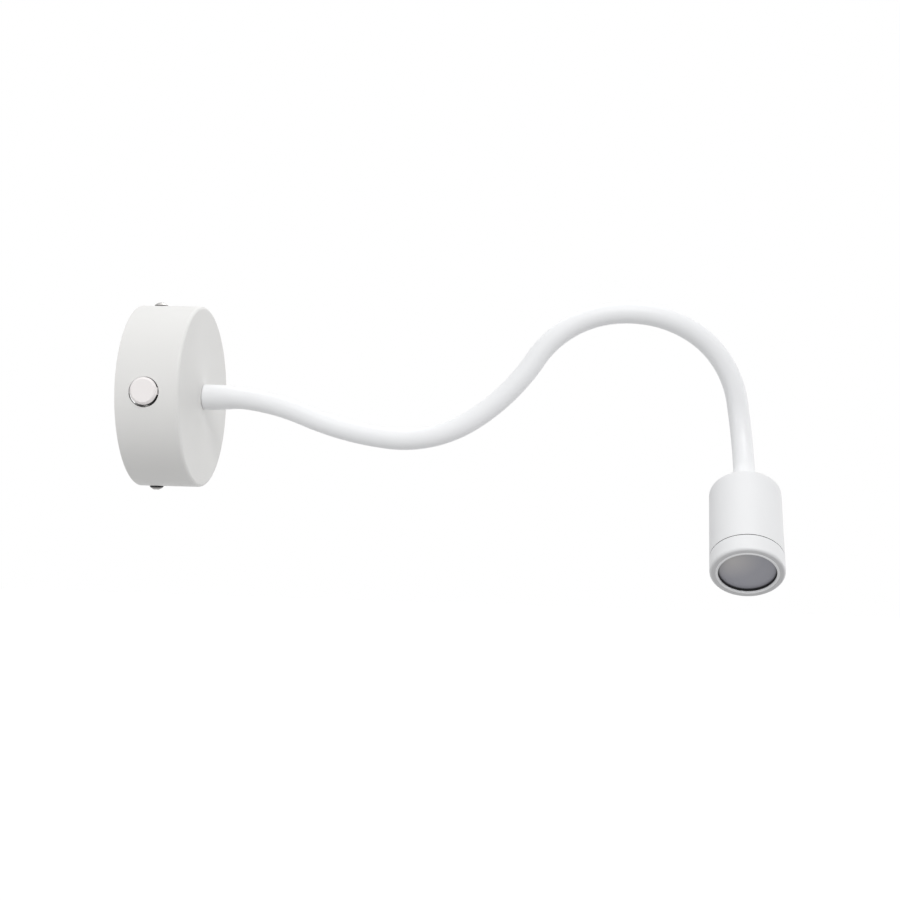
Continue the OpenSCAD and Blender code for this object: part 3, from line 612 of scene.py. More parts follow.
@dataclass(frozen=True)
class JointedPaint(Finish):
    """Paint on two cylinders that screw together, with painted shade down in the hairline between them and on
    the front ring's face.

    Attributes:
        turn: Euler angles that turn the head's axis to Z.
        shift: What then puts the head's back at the origin.
        seam_shade_from: Height along the axis at which the painted shade in the hairline starts.
        seam_shade_to: Height at which it ends.
        seam_shade_radius: Radius under which that painted shade is.
        seam_shade: Colour of the painted shade in the hairline.
        face_from: Height from which the front ring's face starts.
        face_span: Radii between which the painted shade on the face fades in, from the outside.
        face_inner: Radius of the bead, where that painted shade ends.
        face: Colour of the painted shade on the face.
    """

    roughness: float = 0.42
    gloss_spread: float = 0.04
    mottle: float = 0.012
    mottle_size: float = 0.02
    grain: float = 0.0010
    depth: float = 0.000010
    turn: Point = ORIGIN
    shift: Point = ORIGIN
    seam_shade_from: float = 0.0312
    seam_shade_to: float = 0.0376
    seam_shade_radius: float = 0.01492
    seam_shade: Colour = (0.02, 0.02, 0.021)
    face_from: float = 0.043
    face_span: Pair = (0.0149, 0.0139)
    face_inner: float = 0.0126
    face: Colour = (0.60, 0.60, 0.61)

    def sketch(self) -> SurfaceNodes:
        """Adds painted shade on the face round the bead, and in the hairline band under a radius and between
        two heights.

        Returns:
            The material's nodes.
        """
        nodes = super().sketch()
        x, y, z = nodes.axes(self.turn, self.shift)
        away = nodes.radius(x, y)
        # painted shade on the front ring's face, round the bead
        ring = nodes.times(nodes.between(away, 0.0, 1.0, self.face_span), nodes.above(away, self.face_inner))
        nodes.recolour(nodes.times(ring, nodes.above(z, self.face_from)), self.face)
        # painted shade down in the hairline between the housing and the front ring
        band = nodes.times(nodes.above(z, self.seam_shade_from), nodes.below(z, self.seam_shade_to))
        nodes.recolour(nodes.times(nodes.below(away, self.seam_shade_radius), band), self.seam_shade)
        return nodes


@dataclass(frozen=True)
class Silicone(Finish):
    """Extruded silicone skin: soft sheen with faint lines along its length.

    Attributes:
        line_width: Width of the extrusion lines.
        line_length: Length of the extrusion lines.
        line_depth: Depth of the lines.
        sheen: Strength of the sheen.
        sheen_roughness: Roughness of the sheen.
    """

    roughness: float = 0.4
    mottle: float = 0.012
    mottle_size: float = 0.03
    grain: float = 0.0009
    line_width: float = 0.0005
    line_length: float = 0.012
    line_depth: float = 0.000006
    sheen: float = 0.06
    sheen_roughness: float = 0.4

    def sketch(self) -> SurfaceNodes:
        """Adds noise that is stretched along the tube's own length.

        Returns:
            The material's nodes.
        """
        nodes = super().sketch()
        drawn = nodes.place(Coords.UV, (self.line_width / self.line_length, 1.0, 1.0))
        nodes.engrave(nodes.noise(drawn, self.line_width, GRAIN_DETAIL), self.line_depth)
        nodes.give(Sheen_Weight=self.sheen, Sheen_Roughness=self.sheen_roughness)
        return nodes


@dataclass(frozen=True)
class Plated(Finish):
    """Plated or drawn metal, with fine scratches along one axis.

    Attributes:
        stretch: Factors that draw the scratches out.
        scratch: Width of a scratch.
        scratch_depth: Depth of a scratch.
    """

    roughness: float = 0.3
    gloss_spread: float = 0.08
    mottle: float = 0.12
    depth: float = 0.000006
    metallic: float = 1.0
    stretch: Point = (1.0, 1.0, 0.06)
    scratch: float = 0.00025
    scratch_depth: float = 0.000004

    def sketch(self) -> SurfaceNodes:
        """Adds the scratches to the bump.

        Returns:
            The material's nodes.
        """
        nodes = super().sketch()
        drawn = nodes.place(Coords.OBJECT, self.stretch)
        nodes.engrave(nodes.noise(drawn, self.scratch, GRAIN_DETAIL), self.scratch_depth)
        return nodes


@dataclass(frozen=True)
class SeatedPlate(Plated):
    """Plated screw head with painted shade where it meets its seat.

    Attributes:
        seat: Distance from the middle of the canopy, along Z, at which the painted shade starts.
        upper: Distances between which the upper screw goes to the bright plate.
        lower: The same on the lower screw, where the painted shade reaches further.
        seat_shade: Colour of the painted shade at the seat.
    """

    roughness: float = 0.22
    gloss_spread: float = 0.06
    mottle: float = 0.10
    depth: float = 0.000005
    seat: float = 0.0398
    upper: Pair = (0.0401, 0.0406)
    lower: Pair = (0.0404, 0.0416)
    seat_shade: Colour = (0.015, 0.015, 0.016)

    def sketch(self) -> SurfaceNodes:
        """Adds a band of painted shade by the distance along Z, on each screw its own.

        Returns:
            The material's nodes.
        """
        nodes = super().sketch()
        up = nodes.axes()[2]
        # painted shade where each screw meets its seat, wider on the lower screw
        for away, shade_fade in ((up, self.upper), (nodes.times(up, -1.0), self.lower)):
            shade_band = nodes.times(nodes.above(away, self.seat), nodes.between(away, 1.0, 0.0, shade_fade))
            nodes.recolour(shade_band, self.seat_shade)
        return nodes


@dataclass(frozen=True)
class Insulation(Finish):
    """Wire insulation, in one colour or with a second colour in a stripe along the wire.

    Attributes:
        stripe: Second colour, if any.
        stripe_share: Share of the way round that the stripe takes.
        stripe_turn: Length of wire in which the stripe goes once round.
        around: Length once round the wire.
    """

    roughness: float = 0.36
    mottle: float = 0.06
    grain: float = 0.0006
    stripe: Colour | None = None
    stripe_share: float = 0.36
    stripe_turn: float = 0.014
    around: float = 0.00628

    def sketch(self) -> SurfaceNodes:
        """Adds the stripe: where the part of a turn, around plus along, is under the stripe's share.

        Returns:
            The material's nodes.
        """
        nodes = super().sketch()
        if self.stripe is not None:
            place = nodes.place(Coords.UV, (1.0 / self.stripe_turn, 1.0 / self.around, 1.0))
            along, around, _ = nodes.split(place)
            turn = nodes.work(Sum.FRACTION, nodes.work(Sum.ADD, along, around))
            mask = nodes.below(turn, self.stripe_share)
            nodes.give(Base_Color=nodes.blend(mask, self.colour, self.stripe))
        return nodes


@dataclass(frozen=True)
class FrostedPlate(Finish):
    """Frosted lens: a stippled face with a painted pool of warmer light about one spot, and painted shade
    round its rim.

    Attributes:
        centre: Middle of the painted pool of light.
        radius: Radius of the painted pool of light.
        middle: Colour at its middle.
        stipple: Size of one stipple.
        stipple_depth: Depth of the stipple.
        rim_centre: Middle of the lens.
        rim_span: Distances from it between which the frost goes to the painted shade at the border under the
            gasket.
        rim: Colour of the painted shade at that border.
    """

    roughness: float = 0.4
    gloss_spread: float = 0.04
    mottle_size: float = 0.01
    centre: Point = ORIGIN
    radius: float = 0.012
    middle: Colour = (0.5, 0.5, 0.5)
    stipple: float = 0.0004
    stipple_depth: float = 0.00002
    rim_centre: Point = ORIGIN
    rim_span: Pair = (0.0109, 0.0117)
    rim: Colour = (0.02, 0.02, 0.021)

    def sketch(self) -> SurfaceNodes:
        """Adds the painted pool of light, the stipple, and the painted shade at the border by the distance
        from the lens's middle.

        Returns:
            The material's nodes.
        """
        nodes = super().sketch()
        # painted pool of warmer light about a spot off the lens's middle
        share = nodes.between(nodes.distance(self.centre), 0.0, 1.0, (0.0, self.radius))
        inputs = {"Vector": nodes.place(Coords.OBJECT), "Scale": 1.0 / self.stipple}
        cells = nodes.add("ShaderNodeTexVoronoi", inputs, feature="SMOOTH_F1").outputs["Distance"]
        nodes.give(
            Base_Color=nodes.blend(share, self.middle, self.colour),
            Normal=nodes.bump(cells, self.stipple_depth),
        )
        # painted shade round the lens's rim, under the gasket
        border = nodes.between(nodes.distance(self.rim_centre), 0.0, 1.0, self.rim_span)
        nodes.recolour(border, self.rim)
        return nodes


WHITE_PAINT = SpunPaint("white_powder_coat", (0.788, 0.784, 0.771))
SILICONE = Silicone("white_silicone", (0.895, 0.902, 0.915))
BUTTON_PLASTIC = SkirtedPlastic("button_plastic", (0.91, 0.875, 0.87))
SCREW_PLATE = SeatedPlate("screw_plate", (0.50, 0.49, 0.48))
NICKEL = Plated(
    "nickel_plate", (0.26, 0.255, 0.25), roughness=0.24, mottle=0.10, depth=0.000005, slot="nickel")
ZINC = Plated(
    "zinc_plate", (0.58, 0.59, 0.60), roughness=0.34, gloss_spread=0.10, mottle=0.16, mottle_size=0.008,
    grain=0.0009, depth=0.000008)
HOSE_STEEL = Plated(
    "hose_steel", (0.50, 0.51, 0.52), roughness=0.32, mottle_size=0.006, grain=0.0006, depth=0.00001)
TURNED_ALUMINIUM = Plated(
    "turned_aluminium", (0.74, 0.75, 0.76), gloss_spread=0.06, mottle=0.06, mottle_size=0.006, grain=0.0006)
BRASS = Plated("brass", (0.72, 0.55, 0.25), roughness=0.28)
MIRRORED = Finish(
    "mirrored_plastic", (0.86, 0.86, 0.86), roughness=0.14, gloss_spread=0.04, mottle=0.03, mottle_size=0.01,
    grain=0.0012, depth=0.00001, metallic=1.0)
BLOCK_PLASTIC = Finish(
    "block_plastic", (0.74, 0.71, 0.62), roughness=0.5, gloss_spread=0.06, mottle_size=0.006, depth=0.00002)
CASE_PLASTIC = Finish(
    "case_plastic", (0.78, 0.78, 0.765), roughness=0.48, gloss_spread=0.06, mottle=0.03, mottle_size=0.008,
    grain=0.0004, depth=0.00002)
SWITCH_PLASTIC = Finish(
    "switch_plastic", (0.022, 0.022, 0.024), roughness=0.42, gloss_spread=0.06, mottle=0.2, mottle_size=0.005,
    grain=0.0004, depth=0.00002)
FOAM = Finish(
    "pad_foam", (0.045, 0.045, 0.048), roughness=0.9, gloss_spread=0.04, mottle=0.3, mottle_size=0.002,
    grain=0.0004, depth=0.00008)
RUBBER = Finish(
    "black_rubber", (0.014, 0.014, 0.015), roughness=0.55, gloss_spread=0.08, mottle=0.3, grain=0.0004,
    depth=0.00001)
BROWN_WIRE = Insulation("brown_wire", (0.11, 0.04, 0.018), roughness=0.38)
BLACK_WIRE = Insulation("black_wire", (0.014, 0.014, 0.015), mottle=0.1)
BLUE_WIRE = Insulation("blue_wire", (0.02, 0.075, 0.36))
RED_WIRE = Insulation("red_wire", (0.40, 0.016, 0.014))
EARTH_WIRE = Insulation("earth_wire", (0.10, 0.30, 0.03), stripe=(0.72, 0.60, 0.03))
BOARD = Finish("board_white", (0.80, 0.80, 0.77), roughness=0.32, mottle=0.04)
PHOSPHOR = Finish("phosphor", (0.80, 0.52, 0.06), roughness=0.3, mottle=0.06, mottle_size=0.001, grain=0.0003)
FLOOR = Finish(
    "pale_floor", (0.55, 0.55, 0.55), roughness=0.8, mottle=0.02, mottle_size=0.2, grain=0.002, depth=0.00001)


def dress(finishes: dict[Finish, tuple[str, ...]]) -> None:
    """Gives CAD nodes their finishes.

    Args:
        finishes: Names of the nodes that get each finish.
    """
    for finish, names in finishes.items():
        for name in names:
            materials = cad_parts[name].data.materials
            materials.clear()
            materials.append(finish.material)
            LOG.info("dressed %s in %s", name, finish.name)


def settle(piece: bpy.types.Object, finish: Finish, *nodes: str) -> None:
    """Gives a new piece its finish, and has it stand for CAD nodes.

    Args:
        piece: The new piece.
        finish: Its finish, which those nodes get too.
        nodes: Names of the nodes that it stands for, if any.
    """
    piece.data.materials.append(finish.material)
    finish.slot or finish.name
    if nodes:
        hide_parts(*nodes)
        dress({finish: nodes})
    LOG.info("built %s", piece.name)


# Sub-assemblies
@dataclass
class Canopy:
    """Cup on the wall with its strap, screws, switch, driver and terminal block.

    Attributes:
        finishes: Names of the nodes that get each finish.
    """

    finishes: dict[Finish, tuple[str, ...]] = field(default_factory=lambda: {
        WHITE_PAINT: ("canopy",),
        BUTTON_PLASTIC: ("push_button",),
        SCREW_PLATE: ("canopy_screws",),
        NICKEL: ("terminal_screws", "switch_nut", "base_washer", "base_nut"),
        ZINC: ("mounting_bracket", "switch_bracket", "base_ferrule"),
        BRASS: ("earth_screw", "switch_blades"),
        BLOCK_PLASTIC: ("terminal_block",),
        CASE_PLASTIC: ("driver_case",),
        SWITCH_PLASTIC: ("switch_body",),
        FOAM: ("terminal_pad", "driver_pad"),
        RUBBER: ("cable_grommet",),
    })

    def build(self) -> None:
        """Dresses the canopy's nodes."""
        dress(self.finishes)


@dataclass
class ReturnSpring:
    """Spring behind the switch's plunger, which shortens as the button is pressed.

    Attributes:
        node: CAD node that it stands for.
        wire_r: Radius of its wire.
        coil_r: Radius of its coil, at the middle of the wire.
        turns: Turns of the coil.
        travel: How far the plunger comes in; not used.
        rings: Rings along the wire.
        sides: Points in a ring.
    """

    node: str = "switch_spring"
    wire_r: float = 0.0003
    coil_r: float = 0.002
    turns: int = 4
    travel: float = 0.0012
    rings: int = 129
    sides: int = 12

    def build(self) -> None:
        """Carries a round wire along a helix in the node's box.

        At a share of the wire, the turn is that share of all turns, and the place along Y that share of
        the way from the closed end of the switch to the plunger.
        """
        low, high = (np.array(corner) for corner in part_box(self.node))
        middle, length = (low + high) / 2, high[1] - low[1]
        share = np.linspace(0.0, 1.0, self.rings)
        turn = math.tau * self.turns * share
        centre = np.stack([
            middle[0] + self.coil_r * np.cos(turn),
            high[1] - self.wire_r - (length - 2.0 * self.wire_r) * share,
            middle[2] + self.coil_r * np.sin(turn)], axis=-1)
        piece = wire_object("return_spring", centre, self.wire_r, self.sides)
        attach(piece, Body.BASE.value)
        settle(piece, NICKEL, self.node)
        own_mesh(piece)


@dataclass
class Wiring:
    """Wires inside the canopy, as smooth round tubes along the source's own routes, in millimetres.

    Attributes:
        wire_d: Diameter of a mains wire.
        lead_d: Diameter of a lamp lead.
        front_in: Depth of the canopy's inside.
        inner_r: Radius of the canopy's inside.
        block_x: Place of the terminal block's wires along X.
        block_z: Place along Z at which they end in the block.
        pole_pitch: Distance between the block's poles along Y.
        switch_y: Place along Y at which the wires meet the switch's blades.
        blade_near: Place of the blade next to the wall along X.
        blade_far: Place of the other blade along X.
        driver_x: Place of the driver's wires along X.
        driver_y: Middle of the driver along Y.
        driver_spread: Distance of its wires from that middle.
        driver_end: Distance of the driver's ends from its middle, along Z.
        driver_z: Distance from its middle, along Z, at which the wires end in it.
        lamp_x: Place along X at which the lamp leads meet the arm's.
        lead_off: Distance of each from the arm's centreline there.
        earth_z: Place of the earth screw along Z.
        lug_x: Back of the earth wire's ring lug along X.
        lug_t: Thickness of the lug.
        lug_d: Diameter of the lug.
        lug_hole_d: Diameter of its hole.
        lug_power: Power that squares the lug's section, the more the smaller it is.
        lug_rings: Sections round the lug.
        lug_sides: Points in a section.
        slip: Clearance between the earth wire and the strap.
        steps: Steps from one point of a route to the next.
        sides: Points in a wire's ring.
    """

    wire_d: float = 2.0
    lead_d: float = 1.7
    front_in: float = 25.8
    inner_r: float = 38.8
    block_x: float = 18.8
    block_z: float = -20.729
    pole_pitch: float = 8.0
    switch_y: float = -10.0
    blade_near: float = 8.9
    blade_far: float = 15.9
    driver_x: float = 17.3
    driver_y: float = 22.0755
    driver_spread: float = 3.5
    driver_end: float = 20.0
    driver_z: float = 17.6
    lamp_x: float = 19.2
    lead_off: float = 1.0
    earth_z: float = 14.5
    lug_x: float = 1.5
    lug_t: float = 0.8
    lug_d: float = 8.0
    lug_hole_d: float = 4.2
    lug_power: float = 0.35
    lug_rings: int = 48
    lug_sides: int = 16
    slip: float = 0.1
    steps: int = 10
    sides: int = 16

    def inside(self, x: float, y: float, z: float) -> Array:
        """A point given in shares of the canopy's inner depth and radius."""
        return np.array([x * self.front_in, y * self.inner_r, z * self.inner_r])

    def into_driver(self, y: float) -> list[Point]:
        """Last points of a wire that goes up into the driver at a place along Y."""
        ends = (self.driver_end + 1.5 * self.wire_d, self.driver_end + 0.25 * self.wire_d, self.driver_z)
        return [(self.driver_x, y, -end) for end in ends]

    def mains_routes(self) -> dict[str, Route]:
        """Routes of the mains wires between the terminal block, the switch, the driver and the strap.

        Returns:
            Points of each wire's route, by the CAD node that it stands for.
        """
        inside, wire, x, z = self.inside, self.wire_d, self.block_x, self.block_z
        pole, tip, below = self.pole_pitch, self.switch_y, -self.driver_end
        near, far = self.driver_y - self.driver_spread, self.driver_y + self.driver_spread
        return {
            "wire_live": [
                (x, -pole, z), (x, -pole, z + 3 * wire), inside(0.7, -0.168, -0.18),
                inside(0.667, -0.119, -0.046), (self.blade_far, tip + 1.5 * wire, 0.0),
                (self.blade_far, tip, 0.0)],
            "wire_switched": [
                (self.blade_near, tip, 0.0), (self.blade_near, tip + wire, 0.0), inside(0.335, -0.155, -0.03),
                inside(0.295, -0.039, -0.168), inside(0.248, 0.103, -0.361), inside(0.271, 0.232, -0.567),
                inside(0.407, 0.374, -0.722), (0.58 * self.front_in, near, below - 3.75 * wire),
                *self.into_driver(near)],
            "wire_neutral": [
                (x, pole, z), (x, pole, z + 2.5 * wire), inside(0.543, 0.216, -0.335),
                inside(0.326, 0.284, -0.322), inside(0.248, 0.438, -0.425), inside(0.31, 0.593, -0.593),
                (0.504 * self.front_in, far, below - 3.25 * wire), *self.into_driver(far)],
            "wire_earth": [
                (x, 0.0, z), (x, 0.0, z + 2.5 * wire), inside(0.64, -0.062, -0.232),
                inside(0.523, -0.113, -0.077), inside(0.426, -0.129, 0.077), inside(0.271, -0.113, 0.168),
                inside(0.163, -0.052, 0.196),
                (self.lug_x + wire / 2 + self.slip, 0.0, self.earth_z - self.lug_d / 2 - 0.6 * wire)],
        }

    def lamp_route(self, side: float) -> Route:
        """From the driver's upper end round to the arm's leads.

        Args:
            side: -1 for the first lead, 1 for the second, which lies beside it.

        Returns:
            Points of the route: shares of the inside, with a step aside in lead diameters.
        """
        x, y, lead = self.driver_x, self.driver_y + self.driver_spread * side, self.lead_d
        beside = lead * np.array([
            (0.82 * side, 1.3 * side - 1.53, 0.6 * side), (0.88 * side, 0.0, 0.0), (0.82 * side, 0.0, 0.0),
            (0.47 * side, 0.7 * side, 0.0), (0.0, 0.82 * side, 0.0), (0.0, 0.7 * side, 0.0)])
        round_bend = beside + np.array([
            self.inside(0.589, 0.0, 0.678) + (0.0, self.driver_y, 0.0), self.inside(0.504, 0.284, 0.606),
            self.inside(0.442, 0.116, 0.322), self.inside(0.426, 0.041, 0.168),
            self.inside(0.481, 0.0, 0.062), self.inside(0.566, 0.0, 0.008)])
        off = self.lead_off * side
        return [(x, y, self.driver_z), (x, y, self.driver_end + 1.5 * self.wire_d), *round_bend,
                (self.lamp_x - 0.9 * lead, off, 0.0), (self.lamp_x, off, 0.0)]

    def lug(self) -> bpy.types.Object:
        """Ring lug under the earth screw: a flat ring of rounded section turned about the screw's axis.

        The section's cosine and sine are raised to a small power, which makes the circle a rounded box.

        Returns:
            The piece.
        """
        turn, around = ring_angles(self.lug_sides), ring_angles(self.lug_rings)
        box = np.stack([np.cos(turn), np.sin(turn)], axis=-1)
        box = np.sign(box) * np.abs(box) ** self.lug_power
        middle_r, half_w = (self.lug_d + self.lug_hole_d) / 4, (self.lug_d - self.lug_hole_d) / 4
        reach = middle_r + half_w * box[None, :, 0]
        rings = np.stack(np.broadcast_arrays(
            self.lug_x + self.lug_t / 2 * (1 + box[None, :, 1]),
            reach * np.sin(around)[:, None],
            self.earth_z + reach * np.cos(around)[:, None]), axis=-1) * MM
        uv = along_around(around * middle_r * MM, half_w * MM, self.lug_sides)
        return grid_object("earth_lug", rings, Ends.SHELL, uv)

    def build(self) -> None:
        """Builds the mains wires, the earth wire's ring lug and the lamp leads, all on the base."""
        routes = self.mains_routes()
        mains = (
            ("live_wire", BROWN_WIRE, "wire_live"),
            ("switched_wire", BLACK_WIRE, "wire_switched"),
            ("neutral_wire", BLUE_WIRE, "wire_neutral"),
            ("earth_wire_run", EARTH_WIRE, "wire_earth"),
        )
        for name, finish, node in mains:
            self.tube(name, routes[node], self.wire_d, finish, node)
        lug = self.lug()
        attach(lug, Body.BASE.value)
        settle(lug, NICKEL)
        for name, side in (("lamp_lead_a", -1.0), ("lamp_lead_b", 1.0)):
            self.tube(name, self.lamp_route(side), self.lead_d, RED_WIRE, "driver_leads")

    def tube(self, name: str, route: Route, diameter: float, finish: Finish, node: str) -> None:
        """One wire: a round profile carried along its route.

        Args:
            name: Name of the piece.
            route: Points of the route, in millimetres.
            diameter: Diameter, in millimetres.
            finish: Its insulation.
            node: CAD node that it stands for.
        """
        piece = wire_object(name, smooth_route(route, self.steps), diameter / 2 * MM, self.sides)
        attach(piece, Body.BASE.value)
        settle(piece, finish, node)


@dataclass
class Gooseneck:
    """Arm: a sleeve, a hose and two leads swept along eight arcs.

    Each is cut at mid-section, so that every joint lies inside one piece of it.

    Attributes:
        start: Point where the arm leaves the canopy.
        section: Length of one arc.
        last_cut: How much shorter the last arc is.
        stub: Straight length in each ferrule.
        down: Bend of each arc downwards, in degrees.
        side: Bend of each arc towards the button's side, in degrees.
        tube_r: Outer radius of the sleeve.
        wall_t: Thickness of the sleeve.
        flare_r: Outer radius of the sleeve over a ferrule.
        flare_straight: Length of the flare before its taper.
        base_taper: Length of the taper at the canopy.
        head_taper: Length of the taper at the head.
        foot_gap: Gap between the sleeve's ends and the canopy or the head.
        rim: Radius of the roll at the sleeve's ends.
        rim_steps: Steps in that roll.
        ring_step: Distance between the sleeve's rings.
        sides: Points in a ring of the sleeve.
        hose_r: Outer radius of the hose.
        hose_in_r: Radius of its bore.
        hose_foot: Distance of the hose's ends from the canopy and the head.
        hose_pitch: Distance between the hose's turns.
        hose_dip: Depth of the groove between turns.
        hose_sides: Points in a ring of the hose.
        rings_per_turn: Rings in a turn of the hose.
        lead_r: Radius of a lead.
        lead_off: Distance of a lead from the centreline.
        lead_step: Distance between a lead's rings.
        lead_sides: Points in a ring of a lead.
        base_lead: How far the leads go on into the canopy.
        head_lead: How far they go on into the head.
        bend_margin: Room between the end of a bend and the nearest cut ring.
    """

    start: Point = (0.027, 0.0, 0.0)
    section: float = 0.0385
    last_cut: float = 0.001
    stub: float = 0.008
    down: tuple[float, ...] = (22, -16, -39, -24, 48, 38, 50, 25)
    side: tuple[float, ...] = (0, 0, 0, 0, 0, -15, -1, 46)
    tube_r: float = 0.0046
    wall_t: float = 0.0006
    flare_r: float = 0.0056
    flare_straight: float = 0.006
    base_taper: float = 0.013
    head_taper: float = 0.009
    foot_gap: float = 0.0001
    rim: float = 0.00025
    rim_steps: int = 4
    ring_step: float = 0.0009
    sides: int = 56
    hose_r: float = 0.0039
    hose_in_r: float = 0.0027
    hose_foot: float = 0.0016
    hose_pitch: float = 0.0022
    hose_dip: float = 0.0004
    hose_sides: int = 24
    rings_per_turn: int = 6
    lead_r: float = 0.00085
    lead_off: float = 0.001
    lead_step: float = 0.0018
    lead_sides: int = 12
    base_lead: float = 0.0075
    head_lead: float = 0.0085
    bend_margin: float = 0.0002

    @cached_property
    def joints(self) -> int:
        """Number of joints between arcs."""
        return len(self.down) - 1

    @cached_property
    def arcs(self) -> tuple[float, ...]:
        """Length of each arc."""
        return (self.section,) * self.joints + (self.section - self.last_cut,)

    @cached_property
    def length(self) -> float:
        """Length of the arm from canopy to head."""
        return 2 * self.stub + sum(self.arcs)

    def bend(self, arc: int, share: Array) -> tuple[Array, Array]:
        """Turn and shift from an arc's start to a share of its length.

        In the arc's own plane the point is (r(1 - cos a), 0, r sin a) and the turn is a about Y;
        the plane is rolled by the mix of the two bends.

        Args:
            arc: Number of the arc.
            share: Shares of the arc's length, (n,).

        Returns:
            Turns as (n, 3, 3) and shifts as (n, 3).
        """
        angle = math.radians(math.hypot(self.down[arc], self.side[arc]))
        roll = math.atan2(-self.side[arc], self.down[arc])
        cos, sin = np.cos(angle * share), np.sin(angle * share)
        zero, one = np.zeros_like(cos), np.ones_like(cos)
        turn = np.stack([cos, zero, sin, zero, one, zero, -sin, zero, cos], axis=-1).reshape(-1, 3, 3)
        plane = np.array(Matrix.Rotation(roll, 3, "Z"))
        reach = self.arcs[arc] / angle
        shift = np.stack([reach * (1 - cos), zero, reach * sin], axis=-1)
        return plane @ turn @ plane.T, shift @ plane.T

    @cached_property
    def starts(self) -> list[tuple[Array, Array]]:
        """Each arc's start, found from the one before by that arc's turn and shift.

        Returns:
            Turn and place at the start of each arc and at the end of the last.
        """
        outwards = np.array(Matrix.Rotation(math.pi / 2, 3, "Y"))
        first = (outwards, np.array(self.start) + (self.stub, 0.0, 0.0))

        def onward(at: tuple[Array, Array], arc: int) -> tuple[Array, Array]:
            """Turn and place at the end of an arc."""
            turn, shift = self.bend(arc, np.ones(1))
            return at[0] @ turn[0], at[1] + at[0] @ shift[0]

        return list(accumulate(range(len(self.down)), onward, initial=first))

    def along(self, distance: Array) -> tuple[Array, Array, Array]:
        """Centre and side directions at distances from the canopy, straight on in both ferrules.

        Args:
            distance: Distances along the arm, (n,).

        Returns:
            Centre, across and over, each (n, 3).
        """
        which = np.clip(((distance - self.stub) // self.section).astype(int), 0, self.joints)
        centre, across, over = (np.zeros((len(distance), 3)) for _ in range(3))
        for arc in np.unique(which):
            here = which == arc
            local = distance[here] - self.stub - arc * self.section
            on_arc = np.clip(local, 0.0, self.arcs[arc])
            turn, shift = self.bend(int(arc), on_arc / self.arcs[arc])
            base_turn, base = self.starts[arc]
            world = base_turn @ turn
            centre[here] = base + shift @ base_turn.T + (local - on_arc)[:, None] * world[:, :, 2]
            across[here], over[here] = world[:, :, 0], world[:, :, 1]
        return centre, across, over

    @property
    def head_frame(self) -> tuple[Array, Array]:
        """Directions of the head's frame, and the middle of its back face."""
        turn, end = self.starts[-1]
        return turn, end + self.stub * turn[:, 2]

    def outside(self, distance: Array) -> Array:
        """Outer radius of the sleeve: the flare at each end eases to the tube's own radius.

        Args:
            distance: Distances along the arm, (n,).

        Returns:
            Radius at each, (n,).
        """
        base = 1.0 - ease((distance - self.flare_straight) / self.base_taper)
        head = 1.0 - ease((self.length - distance - self.flare_straight) / self.head_taper)
        return self.tube_r + (self.flare_r - self.tube_r) * np.maximum(base, head)

    def cut(self, joint: int, foot: float) -> Pair:
        """Distances at which the piece round a joint starts and ends.

        Args:
            joint: Number of the joint, from 1.
            foot: Distance of the layer's ends from the canopy and from the head.

        Returns:
            Mid-section before and after the joint, or the layer's own end.
        """
        low = foot if joint == 1 else self.stub + (joint - 0.5) * self.section
        high = self.length - foot if joint == self.joints else self.stub + (joint + 0.5) * self.section
        return low, high

    def bend_span(self, joint: int) -> tuple[Point, Point]:
        """Start and end of the bend at a joint: as far along its tangent as the two cut rings allow.

        Args:
            joint: Number of the joint, from 1.

        Returns:
            The points before which and after which a piece is rigid.
        """
        at = self.stub + joint * self.section
        centre, across, over = self.along(at + self.section * np.array([-0.5, 0.0, 0.5]))
        forward = np.cross(across[1], over[1])
        rings = swept_rings(centre, across, over, np.full(3, self.tube_r), self.sides)
        reach = (rings - centre[1]) @ forward
        low, high = reach[0].max() + self.bend_margin, reach[2].min() - self.bend_margin
        return tuple(centre[1] + low * forward), tuple(centre[1] + high * forward)

    def wall(self, name: str, run: Array, outer: Array, inner: Array, sides: int) -> bpy.types.Object:
        """Closed tube wall: rings of the outer radius forwards, then of the inner radius back.

        Args:
            name: Name of the piece.
            run: Distances of the rings along the arm.
            outer: Outer radius at each ring, or at each ring and turn.
            inner: Inner radius at each ring.
            sides: Points in a ring.

        Returns:
            The piece.
        """
        centre, across, over = self.along(run)
        rings = np.concatenate([
            swept_rings(centre, across, over, outer, sides),
            swept_rings(centre, across, over, inner, sides)[::-1]])
        uv = along_around(np.concatenate([run, run[::-1]]), self.tube_r, sides)
        return grid_object(name, rings, Ends.SHELL, uv)

    def sleeve_piece(self, joint: int) -> bpy.types.Object:
        """Sleeve round a joint: an outer wall, back along an inner wall.

        The arm's two free ends are rolled in by a small quarter round.

        Args:
            joint: Number of the joint, from 1.

        Returns:
            The piece, with a closed wall.
        """
        low, high = self.cut(joint, self.foot_gap)
        run = np.linspace(low, high, int((high - low) / self.ring_step))
        outer = self.outside(run)
        turn = np.linspace(0.0, math.pi / 2, self.rim_steps, endpoint=False)
        rolled, shrink = self.rim * (1 - np.cos(turn)), self.rim * (1 - np.sin(turn))
        if joint == 1:
            run = np.concatenate([low + rolled, run[1:]])
            outer = np.concatenate([self.flare_r - shrink, outer[1:]])
        if joint == self.joints:
            run = np.concatenate([run[:-1], (high - rolled)[::-1]])
            outer = np.concatenate([outer[:-1], (self.flare_r - shrink)[::-1]])
        inner = self.outside(run) - self.wall_t
        return self.wall(f"sleeve_{joint}_to_{joint + 1}", run, outer, inner, self.sides)

